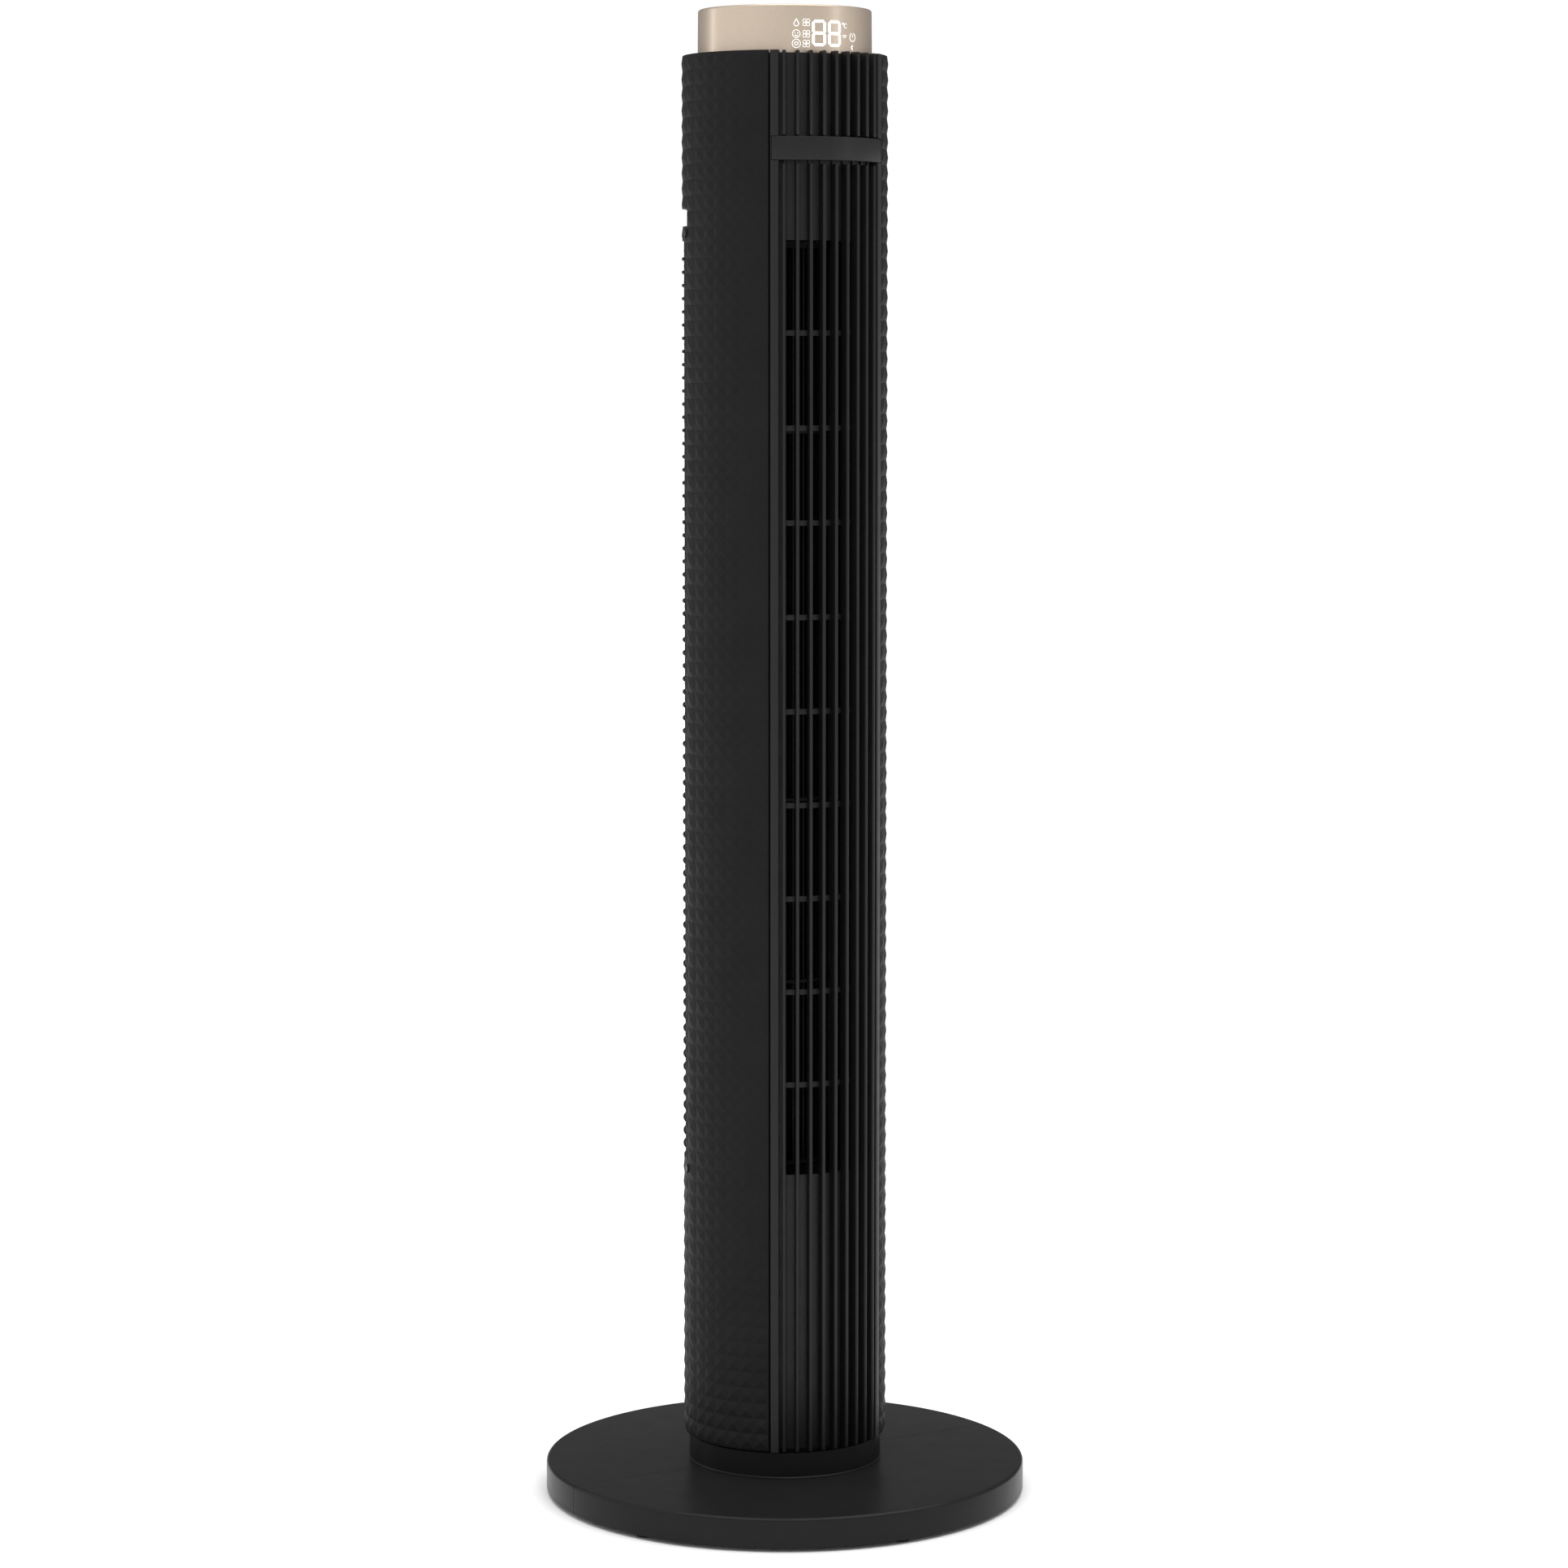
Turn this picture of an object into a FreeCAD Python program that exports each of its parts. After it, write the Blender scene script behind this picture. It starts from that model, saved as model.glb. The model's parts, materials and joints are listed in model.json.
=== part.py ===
import FreeCAD, Part
import math
import os

import Sketcher
from FreeCAD import Placement, Rotation, Vector

# A free-standing oscillating tower fan. Millimetres and degrees. The origin is on the floor under
# the tower's axis, +Z is up and the air comes out towards -Y. Angles "from the front" are counted
# about +Z from -Y.

DIMENSIONS = {
    # clearances and screws
    "hole_gap": 0.05,
    "running_gap": 0.05,
    "seat_gap": 0.1,
    "neck_screw": 1.5,
    "neck_screw_head": 3.0,
    "neck_screw_head_thick": 2.5,
    "gear_screw": 1.25,
    "gear_screw_head": 2.6,
    "swing_screw": 1.5,
    "swing_screw_head": 2.8,
    "housing_screw": 1.6,
    "housing_screw_head": 3.0,
    "housing_screw_angle": 77.0,
    "housing_screw_lift": 1.9,
    "motor_screw": 2.0,
    "motor_screw_head": 4.0,
    "board_screw": 1.2,
    "board_screw_head": 2.5,
    # base: two half discs on five feet
    "foot_height": 3.0,
    "foot_radius": 5.25,
    "foot_boss_radius": 8.5,
    "foot_circle": 163.5,
    "foot_angle": 67.0,
    "base_radius": 173.5,
    "base_top": 24.0,
    "base_wall": 2.5,
    "base_edge_round": 2.5,
    "base_hole_radius": 40.0,
    "base_seam": 0.3,
    "weight_inner": 72.0,
    "weight_outer": 150.0,
    "weight_thick": 6.0,
    "weight_half_angle": 84.0,
    "inlet_height": 12.5,
    "inlet_bore": 3.4,
    "inlet_radius": 6.95,
    "inlet_flange_radius": 8.5,
    "inlet_flange_thick": 2.0,
    "inlet_length": 12.0,
    # neck and swing bearing
    "neck_radius": 69.5,
    "neck_lip": 0.6,
    "neck_lip_tall": 0.6,
    "neck_lip_slope": 0.8,
    "neck_top": 42.6,
    "neck_wall": 3.0,
    "neck_web": 5.0,
    "ledge_inner": 60.0,
    "ledge_top": 37.0,
    "glide_outer": 66.2,
    "glide_top": 42.9,
    "neck_screw_circle": 56.0,
    "post_inner": 9.0,
    "post_outer": 12.0,
    "post_flange": 16.3,
    "post_flange_thick": 3.0,
    "post_top": 55.0,
    "post_bore_gap": 0.3,
    "clip_low": 51.5,
    "clip_groove": 11.0,
    "clip_outer": 15.0,
    "clip_thick": 1.0,
    "clip_sweep": 290.0,
    "washer_outer": 18.0,
    "washer_thick": 1.2,
    # gear pair: the tower's pinion rolls round the fixed gear
    "gear_module": 1.5,
    "gear_teeth": 40,
    "pinion_teeth": 14,
    "pressure_angle": 20.0,
    "backlash": 0.25,
    "gear_bore": 17.6,
    "gear_thick": 6.0,
    "gear_screw_circle": 22.0,
    "pinion_low": 29.7,
    "pinion_thick": 5.0,
    "pinion_shaft": 2.5,
    # tower floor
    "floor_low": 43.2,
    "floor_step": 44.3,
    "floor_top": 47.0,
    "floor_outer": 65.5,
    "chassis_radius": 63.8,
    "hub_radius": 17.0,
    "hub_low": 34.0,
    "hub_top": 50.0,
    "swing_motor_radius": 17.5,
    "swing_motor_tall": 15.0,
    "swing_ear_reach": 22.0,
    "swing_ear_radius": 4.0,
    "swing_ear_thick": 1.5,
    # tower skin
    "tower_radius": 73.5,
    "skin_radius": 73.0,
    "skin_inner": 70.5,
    "tower_low": 44.0,
    "tower_high": 1034.6,
    "foot_of_skin": 1.8,
    "foot_step": 1.0,
    "lip_inner": 66.6,
    "lip_low": 44.9,
    "lip_high": 47.3,
    "front_half_angle": 38.03,
    "panel_from": 38.97,
    "panel_to": 93.6,
    "rear_from": 93.9,
    # front grille
    "backing_inner": 64.0,
    "backing_outer": 66.5,
    "backing_half_angle": 42.0,
    "backing_low": 44.6,
    "backing_high": 1033.2,
    "cheek_from": 33.3,
    "fin_root": 66.0,
    "fin_thick": 2.7,
    "fin_pitch": 7.6,
    "fin_count": 9,
    "window_low": 243.3,
    "window_high": 907.2,
    "window_half_angle": 31.6,
    "window_rows": 10,
    "bar_tall": 3.8,
    "band_low": 958.8,
    "band_high": 975.1,
    "band_half_angle": 37.2,
    "band_inner": 68.4,
    "band_flange_inner": 71.0,
    "fins_stop_below": 956.3,
    "fins_start_above": 975.8,
    "band_gap": 0.15,
    # rear intake and handle
    "rib_count": 70,
    "rib_pitch": 9.37,
    "rib_tall": 2.4,
    "rib_inner": 70.7,
    "frame_inner": 70.45,
    "intake_low": 243.9,
    "intake_half_angle": 73.0,
    "grille_gap": 0.15,
    "stile_angle": 1.4,
    "rib_end_lap": 0.3,
    "tie_count": 7,
    "tie_pitch": 22.0,
    "tie_wide": 2.4,
    "tie_outer": 71.6,
    "slot_low": 914.5,
    "slot_high": 927.1,
    "slot_half_angle": 78.3,
    "grip_high": 941.0,
    "grip_half_angle": 35.0,
    "pocket_inner": 54.0,
    "pocket_wall": 2.3,
    "pocket_outer": 70.3,
    "pocket_low": 912.0,
    "pocket_high": 943.4,
    "pocket_half_angle": 80.5,
    # bulkheads and air duct
    "bulkhead_radius": 70.2,
    "bulkhead_thick": 6.0,
    "lower_bulkhead_low": 236.2,
    "upper_bulkhead_low": 904.4,
    "bulkhead_half_angle": 137.0,
    "duct_wall": 1.8,
    "scroll_start": 140.0,
    "scroll_end": 237.0,
    "scroll_gap": 4.5,
    "scroll_growth": 0.281,
    # impeller, set back from the tower's axis
    "impeller_back": 12.0,
    "impeller_radius": 40.0,
    "impeller_low": 246.0,
    "impeller_high": 901.0,
    "impeller_sections": 5,
    "blade_count": 30,
    "blade_inner": 31.0,
    "blade_curve": 10.0,
    "blade_thick": 1.0,
    "blade_sweep": 62.0,
    "disc_thick": 2.0,
    "end_disc_thick": 2.5,
    "blade_reach": 8.3,
    "blade_offset": 6.2,
    "blade_tilt": 20.0,
    "drive_hub_radius": 8.0,
    "drive_hub_low": 231.5,
    "fit_gap": 0.02,
    "stub_radius": 3.0,
    "stub_low": 890.0,
    "stub_high": 911.0,
    "end_hub_radius": 7.0,
    "bush_radius": 8.5,
    "rubber_radius": 14.0,
    # fan motor
    "motor_radius": 42.0,
    "motor_low": 172.0,
    "motor_high": 226.0,
    "motor_wall": 2.5,
    "motor_boss": 10.0,
    "motor_boss_deep": 8.0,
    "motor_shaft": 4.0,
    "shaft_low": 160.0,
    "stator_low": 186.0,
    "stator_tall": 26.0,
    "stator_inner": 22.0,
    "stator_slots": 12,
    "stator_slot_reach": 32.0,
    "rotor_radius": 21.5,
    "plate_radius": 54.0,
    "plate_thick": 2.0,
    "damper_radius": 6.0,
    "damper_circle": 48.0,
    "damper_gap": 0.1,
    # top of the tower
    "deck_low": 1027.0,
    "deck_thick": 3.0,
    "deck_hole_half": 22.0,
    "deck_hole_front": 30.0,
    "deck_hole_rear": 20.0,
    "cap_low": 1030.2,
    "cap_high": 1067.0,
    "cap_radius": 61.6,
    "cap_draft": 0.35,
    "cap_wall": 2.5,
    "cap_edge_round": 1.6,
    "cap_opening": 50.5,
    "panel_radius": 50.2,
    "panel_flange": 54.0,
    "panel_low": 1063.6,
    "panel_high": 1066.4,
    "panel_flange_low": 1062.4,
    "panel_flange_high": 1064.1,
    "key_circle": 34.0,
    "key_spread": 30.0,
    "key_radius": 6.7,
    "key_gap": 0.3,
    "key_flange_radius": 7.9,
    "key_low": 1062.2,
    "key_flange_top": 1063.5,
    "key_high": 1066.9,
    "mat_radius": 46.0,
    "mat_low": 1057.0,
    "mat_thick": 1.0,
    "mat_relief": 3.6,
    "dome_radius": 5.0,
    "dome_high": 1061.3,
    "board_radius": 47.0,
    "board_low": 1053.0,
    "board_thick": 1.6,
    "switch_radius": 3.0,
    "switch_tall": 2.3,
    "board_post_radius": 2.9,
    "board_post_circle": 43.5,
    "board_bore_deep": 9.0,
    "display_half_width": 21.0,
    "display_back": 50.0,
    "display_low": 1034.0,
    "display_high": 1060.0,
    "guide_half_width": 19.0,
    "guide_low": 1036.0,
    "guide_high": 1058.0,
    "power_board_wide": 70.0,
    "power_board_tall": 96.0,
    "power_board_low": 47.2,
    "power_board_front": 34.0,
    "power_board_thick": 1.6,
}

FRONT = -90.0
REAR = 90.0
UP = Vector(0, 0, 1)

doc = FreeCAD.newDocument("tower_fan")
sheet = doc.addObject("Spreadsheet::Sheet", "Sizes")
subparts = []


class Size:
    """A length, angle or count: its value now, and the sheet expression that drives it."""

    def __init__(self, text, value):
        self.text = text
        self.value = value

    def __add__(self, other):
        return combine(self, "+", other, lambda a, b: a + b)

    def __radd__(self, other):
        return as_size(other) + self

    def __sub__(self, other):
        return combine(self, "-", other, lambda a, b: a - b)

    def __rsub__(self, other):
        return as_size(other) - self

    def __mul__(self, other):
        return combine(self, "*", other, lambda a, b: a * b)

    def __rmul__(self, other):
        return as_size(other) * self

    def __truediv__(self, other):
        return combine(self, "/", other, lambda a, b: a / b)

    def __neg__(self):
        return as_size(0) - self


class Sizes:
    """Gives every cell of the sheet by its alias: S.base_radius."""

    def __getattr__(self, alias):
        return Size(f"Sizes.{alias}", DIMENSIONS[alias])


S = Sizes()


def as_size(thing):
    return thing if isinstance(thing, Size) else Size(f"{float(thing):g}", float(thing))


def combine(left, sign, right, rule):
    right = as_size(right)
    return Size(f"({left.text} {sign} {right.text})", rule(left.value, right.value))


def fill_sheet():
    for row, (alias, value) in enumerate(DIMENSIONS.items(), start=1):
        sheet.set(f"A{row}", alias)
        sheet.set(f"B{row}", str(value))
        sheet.setAlias(f"B{row}", alias)
    doc.recompute()


def bind(thing, prop, size):
    """Set a property through the sheet."""
    thing.setExpression(prop, as_size(size).text)


def keep(thing, label):
    """Register a finished sub-part under the name of its node."""
    thing.Label = label
    subparts.append(thing)
    return thing


def place(thing, x=0, y=0, z=0, turn=0.0):
    """Put a thing at a bound position, turned about the vertical by a plain angle."""
    thing.Placement = Placement(Vector(0, 0, 0), Rotation(UP, turn))
    bind(thing, "Placement.Base.x", x)
    bind(thing, "Placement.Base.y", y)
    bind(thing, "Placement.Base.z", z)
    return thing


# --- PartDesign helpers -----------------------------------------------------------------------

def new_body(label):
    body = doc.addObject("PartDesign::Body", label)
    return keep(body, label)


def new_sketch(body, role, lift=0):
    plane = next(item for item in body.Origin.OriginFeatures if item.Role == role)
    sketch = body.newObject("Sketcher::SketchObject", "Sketch")
    sketch.AttachmentSupport = [(plane, "")]
    sketch.MapMode = "FlatFace"
    bind(sketch, "AttachmentOffset.Base.z", lift)
    return sketch


def hold(sketch, kind, *where, size):
    """Add a dimensional constraint that the sheet drives."""
    index = sketch.addConstraint(Sketcher.Constraint(kind, *where, as_size(size).value))
    bind(sketch, f"Constraints[{index}]", size)


def outline(sketch, corners):
    """A closed polygon with every corner held by sheet sizes."""
    corners = [(as_size(x), as_size(y)) for x, y in corners]
    count = len(corners)
    for index, (x, y) in enumerate(corners):
        next_x, next_y = corners[(index + 1) % count]
        start = Vector(x.value, y.value, 0)
        sketch.addGeometry(Part.LineSegment(start, Vector(next_x.value, next_y.value, 0)))
    for index, (x, y) in enumerate(corners):
        sketch.addConstraint(Sketcher.Constraint("Coincident", index, 2, (index + 1) % count, 1))
        hold(sketch, "DistanceX", -1, 1, index, 1, size=x)
        hold(sketch, "DistanceY", -1, 1, index, 1, size=y)
    return sketch


def circles(sketch, items):
    """Circles given as (x, y, radius), each held by sheet sizes."""
    for index, (x, y, radius) in enumerate(items):
        x, y, radius = as_size(x), as_size(y), as_size(radius)
        sketch.addGeometry(Part.Circle(Vector(x.value, y.value, 0), UP, radius.value))
        hold(sketch, "DistanceX", -1, 1, index, 3, size=x)
        hold(sketch, "DistanceY", -1, 1, index, 3, size=y)
        hold(sketch, "Radius", index, size=radius)
    return sketch


def box_corners(x_low, x_high, y_low, y_high):
    return [(x_low, y_low), (x_high, y_low), (x_high, y_high), (x_low, y_high)]


def turn_feature(body, kind, corners, half_angle=180):
    """Revolve or groove a profile of (radius, height) points, half each side of the body's +X."""
    sketch = outline(new_sketch(body, "XZ_Plane"), corners)
    feature = body.newObject(kind, "Turn")
    feature.Profile = sketch
    feature.ReferenceAxis = (sketch, ["V_Axis"])
    feature.Midplane = True
    bind(feature, "Angle", as_size(half_angle) * 2)
    return feature


def revolve(body, corners, half_angle=180):
    return turn_feature(body, "PartDesign::Revolution", corners, half_angle)


def groove(body, corners, half_angle=180):
    return turn_feature(body, "PartDesign::Groove", corners, half_angle)


def pad(body, sketch, length):
    feature = body.newObject("PartDesign::Pad", "Pad")
    feature.Profile = sketch
    bind(feature, "Length", length)
    return feature


def drill(body, items, low, high):
    """Cut upright round holes, given as (x, y, radius), between two heights."""
    sketch = circles(new_sketch(body, "XY_Plane", low), items)
    feature = body.newObject("PartDesign::Pocket", "Drill")
    feature.Profile = sketch
    feature.Reversed = True
    bind(feature, "Length", high - low)
    return feature


def repeat_up(body, feature, pitch, count):
    """Repeat a feature upwards."""
    pattern = body.newObject("PartDesign::LinearPattern", "Rows")
    pattern.Originals = [feature]
    pattern.Direction = (feature.Profile[0], ["V_Axis"])
    bind(pattern, "Length", pitch * (count - 1))
    bind(pattern, "Occurrences", count)
    body.Tip = pattern
    return pattern


def repeat_round(body, feature, sweep, count):
    """Repeat a feature about the body's upright axis."""
    pattern = body.newObject("PartDesign::PolarPattern", "Round")
    pattern.Originals = [feature]
    pattern.Axis = (feature.Profile[0], ["N_Axis"])
    bind(pattern, "Angle", sweep)
    bind(pattern, "Occurrences", count)
    body.Tip = pattern
    return pattern


def turned(label, corners, half_angle=180, middle=0.0, x=0, y=0, z=0):
    """A sub-part made by turning one profile, whole or as a sector about a middle angle."""
    body = new_body(label)
    revolve(body, corners, half_angle)
    return place(body, x, y, z, turn=middle)


def ring_profile(inner, outer, low, high):
    return box_corners(inner, outer, low, high)


def round_edge(body, radius, edge_radius, height):
    """Round the circular edges of a given radius at a given height."""
    doc.recompute()
    base = body.Tip
    names = []
    for number, edge in enumerate(base.Shape.Edges, start=1):
        middle = edge.valueAt((edge.FirstParameter + edge.LastParameter) / 2)
        reach = math.hypot(middle.x, middle.y)
        if abs(reach - edge_radius.value) < 0.01 and abs(middle.z - height.value) < 0.01:
            names.append(f"Edge{number}")
    fillet = body.newObject("PartDesign::Fillet", "Rounding")
    fillet.Base = (base, names)
    bind(fillet, "Radius", radius)
    return fillet


# --- Part helpers -----------------------------------------------------------------------------

def cylinder(radius, low, high, x=0, y=0, start=0.0, sweep=360):
    """An upright cylinder or pie slice."""
    item = doc.addObject("Part::Cylinder", "Cylinder")
    bind(item, "Radius", radius)
    bind(item, "Height", high - low)
    bind(item, "Angle", sweep)
    return place(item, x, y, low, turn=start)


def block(x_low, x_high, y_low, y_high, z_low, z_high):
    item = doc.addObject("Part::Box", "Block")
    bind(item, "Length", x_high - x_low)
    bind(item, "Width", y_high - y_low)
    bind(item, "Height", z_high - z_low)
    return place(item, x_low, y_low, z_low)


def lying_cylinder(radius, near, far, height, turn=0.0):
    """A level cylinder that points outwards from the axis, between two radii."""
    item = doc.addObject("Part::Cylinder", "Cylinder")
    bind(item, "Radius", radius)
    bind(item, "Height", far - near)
    out = Rotation(UP, turn).multVec(Vector(1, 0, 0))
    item.Placement = Placement(Vector(0, 0, 0), Rotation(UP, out))
    bind(item, "Placement.Base.x", near * out.x)
    bind(item, "Placement.Base.y", near * out.y)
    bind(item, "Placement.Base.z", height)
    return item


def fuse(pieces):
    item = doc.addObject("Part::MultiFuse", "Fusion")
    item.Shapes = pieces
    return item


def cut(base, tool):
    item = doc.addObject("Part::Cut", "Cut")
    item.Base = base
    item.Tool = tool
    return item


def common(pieces):
    item = doc.addObject("Part::MultiCommon", "Common")
    item.Shapes = pieces
    return item


def group(pieces):
    """Separate solids that share one node."""
    item = doc.addObject("Part::Compound", "Group")
    item.Links = pieces
    return item


def on_circle(radius, angle):
    """A bound point at a radius and a plain angle."""
    turn = math.radians(angle)
    return as_size(radius) * round(math.cos(turn), 9), as_size(radius) * round(math.sin(turn), 9)


def screw(x, y, head, head_low, head_high, shank, shank_low, shank_high):
    """An upright screw: a head and a plain shank."""
    return fuse([cylinder(head, head_low, head_high, x, y), cylinder(shank, shank_low, shank_high, x, y)])


# --- base -------------------------------------------------------------------------------------

NECK_SCREW_ANGLES = [45, 135, 225, 315]


def base_half(label, middle, feet):
    """One half of the base: a shallow half-disc shell with bosses for its feet."""
    under = S.base_top - S.base_wall
    body = new_body(label)
    revolve(body, [
        (S.base_hole_radius, under),
        (S.base_radius - S.base_wall, under),
        (S.base_radius - S.base_wall, S.foot_height),
        (S.base_radius, S.foot_height),
        (S.base_radius, S.base_top),
        (S.base_hole_radius, S.base_top),
    ], half_angle=90)
    round_edge(body, S.base_edge_round, S.base_radius, S.base_top)
    bosses = [(*on_circle(S.foot_circle, angle - middle), S.foot_boss_radius) for angle in feet]
    pad(body, circles(new_sketch(body, "XY_Plane", S.foot_height), bosses), S.base_top - S.foot_height - 1)
    screws = [angle - middle for angle in NECK_SCREW_ANGLES if abs((angle - middle + 180) % 360 - 180) < 90]
    holes = [(*on_circle(S.neck_screw_circle, angle), S.neck_screw + S.base_seam) for angle in screws]
    drill(body, holes, under - 1, S.base_top + 1)
    return place(body, 0, (S.base_seam / 2) * (1 if middle > 0 else -1), 0, turn=middle)


def base_halves():
    base_half("base_front_half", FRONT, foot_angles()[:3])
    rear = base_half("base_rear_half", REAR, foot_angles()[3:])
    inlet = new_sketch(rear, "YZ_Plane", S.base_radius - 10)
    circles(inlet, [(0, S.inlet_height, S.inlet_radius + S.running_gap)])
    opening = rear.newObject("PartDesign::Pocket", "InletOpening")
    opening.Profile = inlet
    opening.Reversed = True
    bind(opening, "Length", 20)


def foot_angles():
    """Five feet: one at the front, and the others in two pairs."""
    spread = S.foot_angle.value
    return [FRONT, FRONT - spread, FRONT + spread, FRONT - 2 * spread, FRONT + 2 * spread]


def base_feet():
    feet = [cylinder(S.foot_radius, as_size(0), S.foot_height, *on_circle(S.foot_circle, angle))
            for angle in foot_angles()]
    keep(group(feet), "base_feet")


def base_weights():
    high = S.base_top - S.base_wall - S.seat_gap
    profile = ring_profile(S.weight_inner, S.weight_outer, high - S.weight_thick, high)
    turned("base_weight_front", profile, S.weight_half_angle, FRONT)
    turned("base_weight_rear", profile, S.weight_half_angle, REAR)


def base_screws():
    under = S.base_top - S.base_wall
    screws = [screw(*on_circle(S.neck_screw_circle, angle), S.neck_screw_head,
                    under - S.neck_screw_head_thick, under, S.neck_screw, under, S.base_top + S.neck_web - 1)
              for angle in NECK_SCREW_ANGLES]
    keep(group(screws), "base_screws")


def cord_inlet():
    """The bush in the rear rim, with a flange inside the wall."""
    far = S.base_radius - 0.2
    flange_far = S.base_radius - S.base_wall - 0.6
    tube = lying_cylinder(S.inlet_radius, far - S.inlet_length, far, S.inlet_height, REAR)
    flange = lying_cylinder(S.inlet_flange_radius, flange_far - S.inlet_flange_thick, flange_far,
                            S.inlet_height, REAR)
    bore = lying_cylinder(S.inlet_bore, far - S.inlet_length - 1, far + 1, S.inlet_height, REAR)
    keep(cut(fuse([tube, flange]), bore), "cord_inlet")


# --- neck and swing bearing -------------------------------------------------------------------

GEAR_SCREW_ANGLES = [0, 120, 240]


def web_top():
    return S.base_top + S.neck_web


def neck_collar():
    """The fixed ring under the tower, closed by a web that carries the gear and the pivot."""
    body = new_body("neck_collar")
    inner = S.neck_radius - S.neck_wall
    revolve(body, [
        (S.post_outer + S.post_bore_gap, S.base_top),
        (S.neck_radius + S.neck_lip, S.base_top),
        (S.neck_radius + S.neck_lip, S.base_top + S.neck_lip_tall),
        (S.neck_radius, S.base_top + S.neck_lip_tall + S.neck_lip_slope),
        (S.neck_radius, S.neck_top),
        (inner, S.neck_top),
        (inner, S.ledge_top),
        (S.ledge_inner, S.ledge_top),
        (S.ledge_inner, web_top()),
        (S.post_outer + S.post_bore_gap, web_top()),
    ])
    holes = [(*on_circle(S.neck_screw_circle, angle), S.neck_screw + S.hole_gap)
             for angle in NECK_SCREW_ANGLES]
    holes += [(*on_circle(S.gear_screw_circle, angle), S.gear_screw + S.hole_gap)
              for angle in GEAR_SCREW_ANGLES]
    drill(body, holes, S.base_top - 1, web_top() + 1)


def pivot_post():
    """The hollow post that the tower turns on; the wires pass through it."""
    turned("pivot_post", [
        (S.post_inner, S.base_top),
        (S.post_outer, S.base_top),
        (S.post_outer, web_top()),
        (S.post_flange, web_top()),
        (S.post_flange, web_top() + S.post_flange_thick),
        (S.post_outer, web_top() + S.post_flange_thick),
        (S.post_outer, S.clip_low),
        (S.clip_groove, S.clip_low),
        (S.clip_groove, S.clip_low + S.clip_thick + 0.2),
        (S.post_outer, S.clip_low + S.clip_thick + 0.2),
        (S.post_outer, S.post_top),
        (S.post_inner, S.post_top),
    ])


def glide_ring():
    turned("glide_ring", ring_profile(S.ledge_inner + 0.2, S.glide_outer, S.ledge_top, S.glide_top))


def retaining_washer():
    low = S.hub_top + 0.2
    profile = ring_profile(S.post_outer + S.running_gap, S.washer_outer, low, low + S.washer_thick)
    turned("retaining_washer", profile)


def retaining_clip():
    """An open spring clip in the post's groove."""
    low = S.clip_low + 0.1
    profile = ring_profile(S.clip_groove + S.running_gap, S.clip_outer, low, low + S.clip_thick)
    turned("retaining_clip", profile, S.clip_sweep / 2)


def involute(base_radius, radius):
    """The angle that an involute has turned through at a radius."""
    angle = math.acos(min(1.0, base_radius / radius))
    return math.tan(angle) - angle


def gear_shape(teeth, bore, thick, first_tooth):
    """A spur gear with involute flanks, its first tooth centred on the given angle."""
    module = DIMENSIONS["gear_module"]
    pressure = math.radians(DIMENSIONS["pressure_angle"])
    pitch_radius = module * teeth / 2
    base_radius = pitch_radius * math.cos(pressure)
    tip_radius = pitch_radius + 0.9 * module
    root_radius = pitch_radius - 1.25 * module
    flank_low = max(base_radius, root_radius + 0.05)
    half_at_pitch = math.pi / (2 * teeth) - DIMENSIONS["backlash"] / (2 * pitch_radius)

    def half_tooth(radius):
        return half_at_pitch + involute(base_radius, pitch_radius) - involute(base_radius, radius)

    def polar(radius, angle):
        return Vector(radius * math.cos(angle), radius * math.sin(angle), 0)

    samples = [flank_low + (tip_radius - flank_low) * step / 5 for step in range(6)]
    edges = []
    for number in range(teeth):
        middle = math.radians(first_tooth) + 2 * math.pi * number / teeth
        following = middle + 2 * math.pi / teeth
        up = [polar(radius, middle - half_tooth(radius)) for radius in samples]
        down = [polar(radius, middle + half_tooth(radius)) for radius in reversed(samples)]
        root_start = polar(root_radius, middle + half_tooth(flank_low))
        root_end = polar(root_radius, following - half_tooth(flank_low))
        rising = Part.BSplineCurve()
        rising.interpolate(up)
        falling = Part.BSplineCurve()
        falling.interpolate(down)
        edges += [
            rising.toShape(),
            Part.Arc(up[-1], polar(tip_radius, middle), down[0]).toShape(),
            falling.toShape(),
            Part.LineSegment(down[-1], root_start).toShape(),
            Part.Arc(root_start, polar(root_radius, middle + math.pi / teeth), root_end).toShape(),
            Part.LineSegment(root_end, polar(flank_low, following - half_tooth(flank_low))).toShape(),
        ]
    face = Part.Face(Part.Wire(edges))
    blank = face.extrude(Vector(0, 0, thick))
    if bore > 0:
        blank = blank.cut(Part.makeCylinder(bore, thick))
    return blank


def fixed_gear():
    """The gear screwed to the neck, with a tooth pointing at the pinion."""
    thick = DIMENSIONS["gear_thick"]
    hole_radius = DIMENSIONS["gear_screw"] + DIMENSIONS["hole_gap"]
    shape = gear_shape(DIMENSIONS["gear_teeth"], DIMENSIONS["gear_bore"], thick, REAR)
    for angle in GEAR_SCREW_ANGLES:
        x, y = on_circle(S.gear_screw_circle, angle)
        shape = shape.cut(Part.makeCylinder(hole_radius, thick, Vector(x.value, y.value, 0)))
    feature = doc.addObject("Part::Feature", "fixed_gear")
    feature.Shape = shape
    feature.Placement = Placement(Vector(0, 0, (web_top() + S.hole_gap).value), Rotation())
    keep(feature, "fixed_gear")


def gear_screws():
    top = web_top() + S.hole_gap + S.gear_thick
    screws = [screw(*on_circle(S.gear_screw_circle, angle), S.gear_screw_head, top, top + 2,
                    S.gear_screw, web_top() - 4, top)
              for angle in GEAR_SCREW_ANGLES]
    keep(group(screws), "gear_screws")


def pinion_reach():
    """The distance between the gear's axis and the pinion's."""
    return S.gear_module * (S.gear_teeth + S.pinion_teeth) / 2


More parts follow.
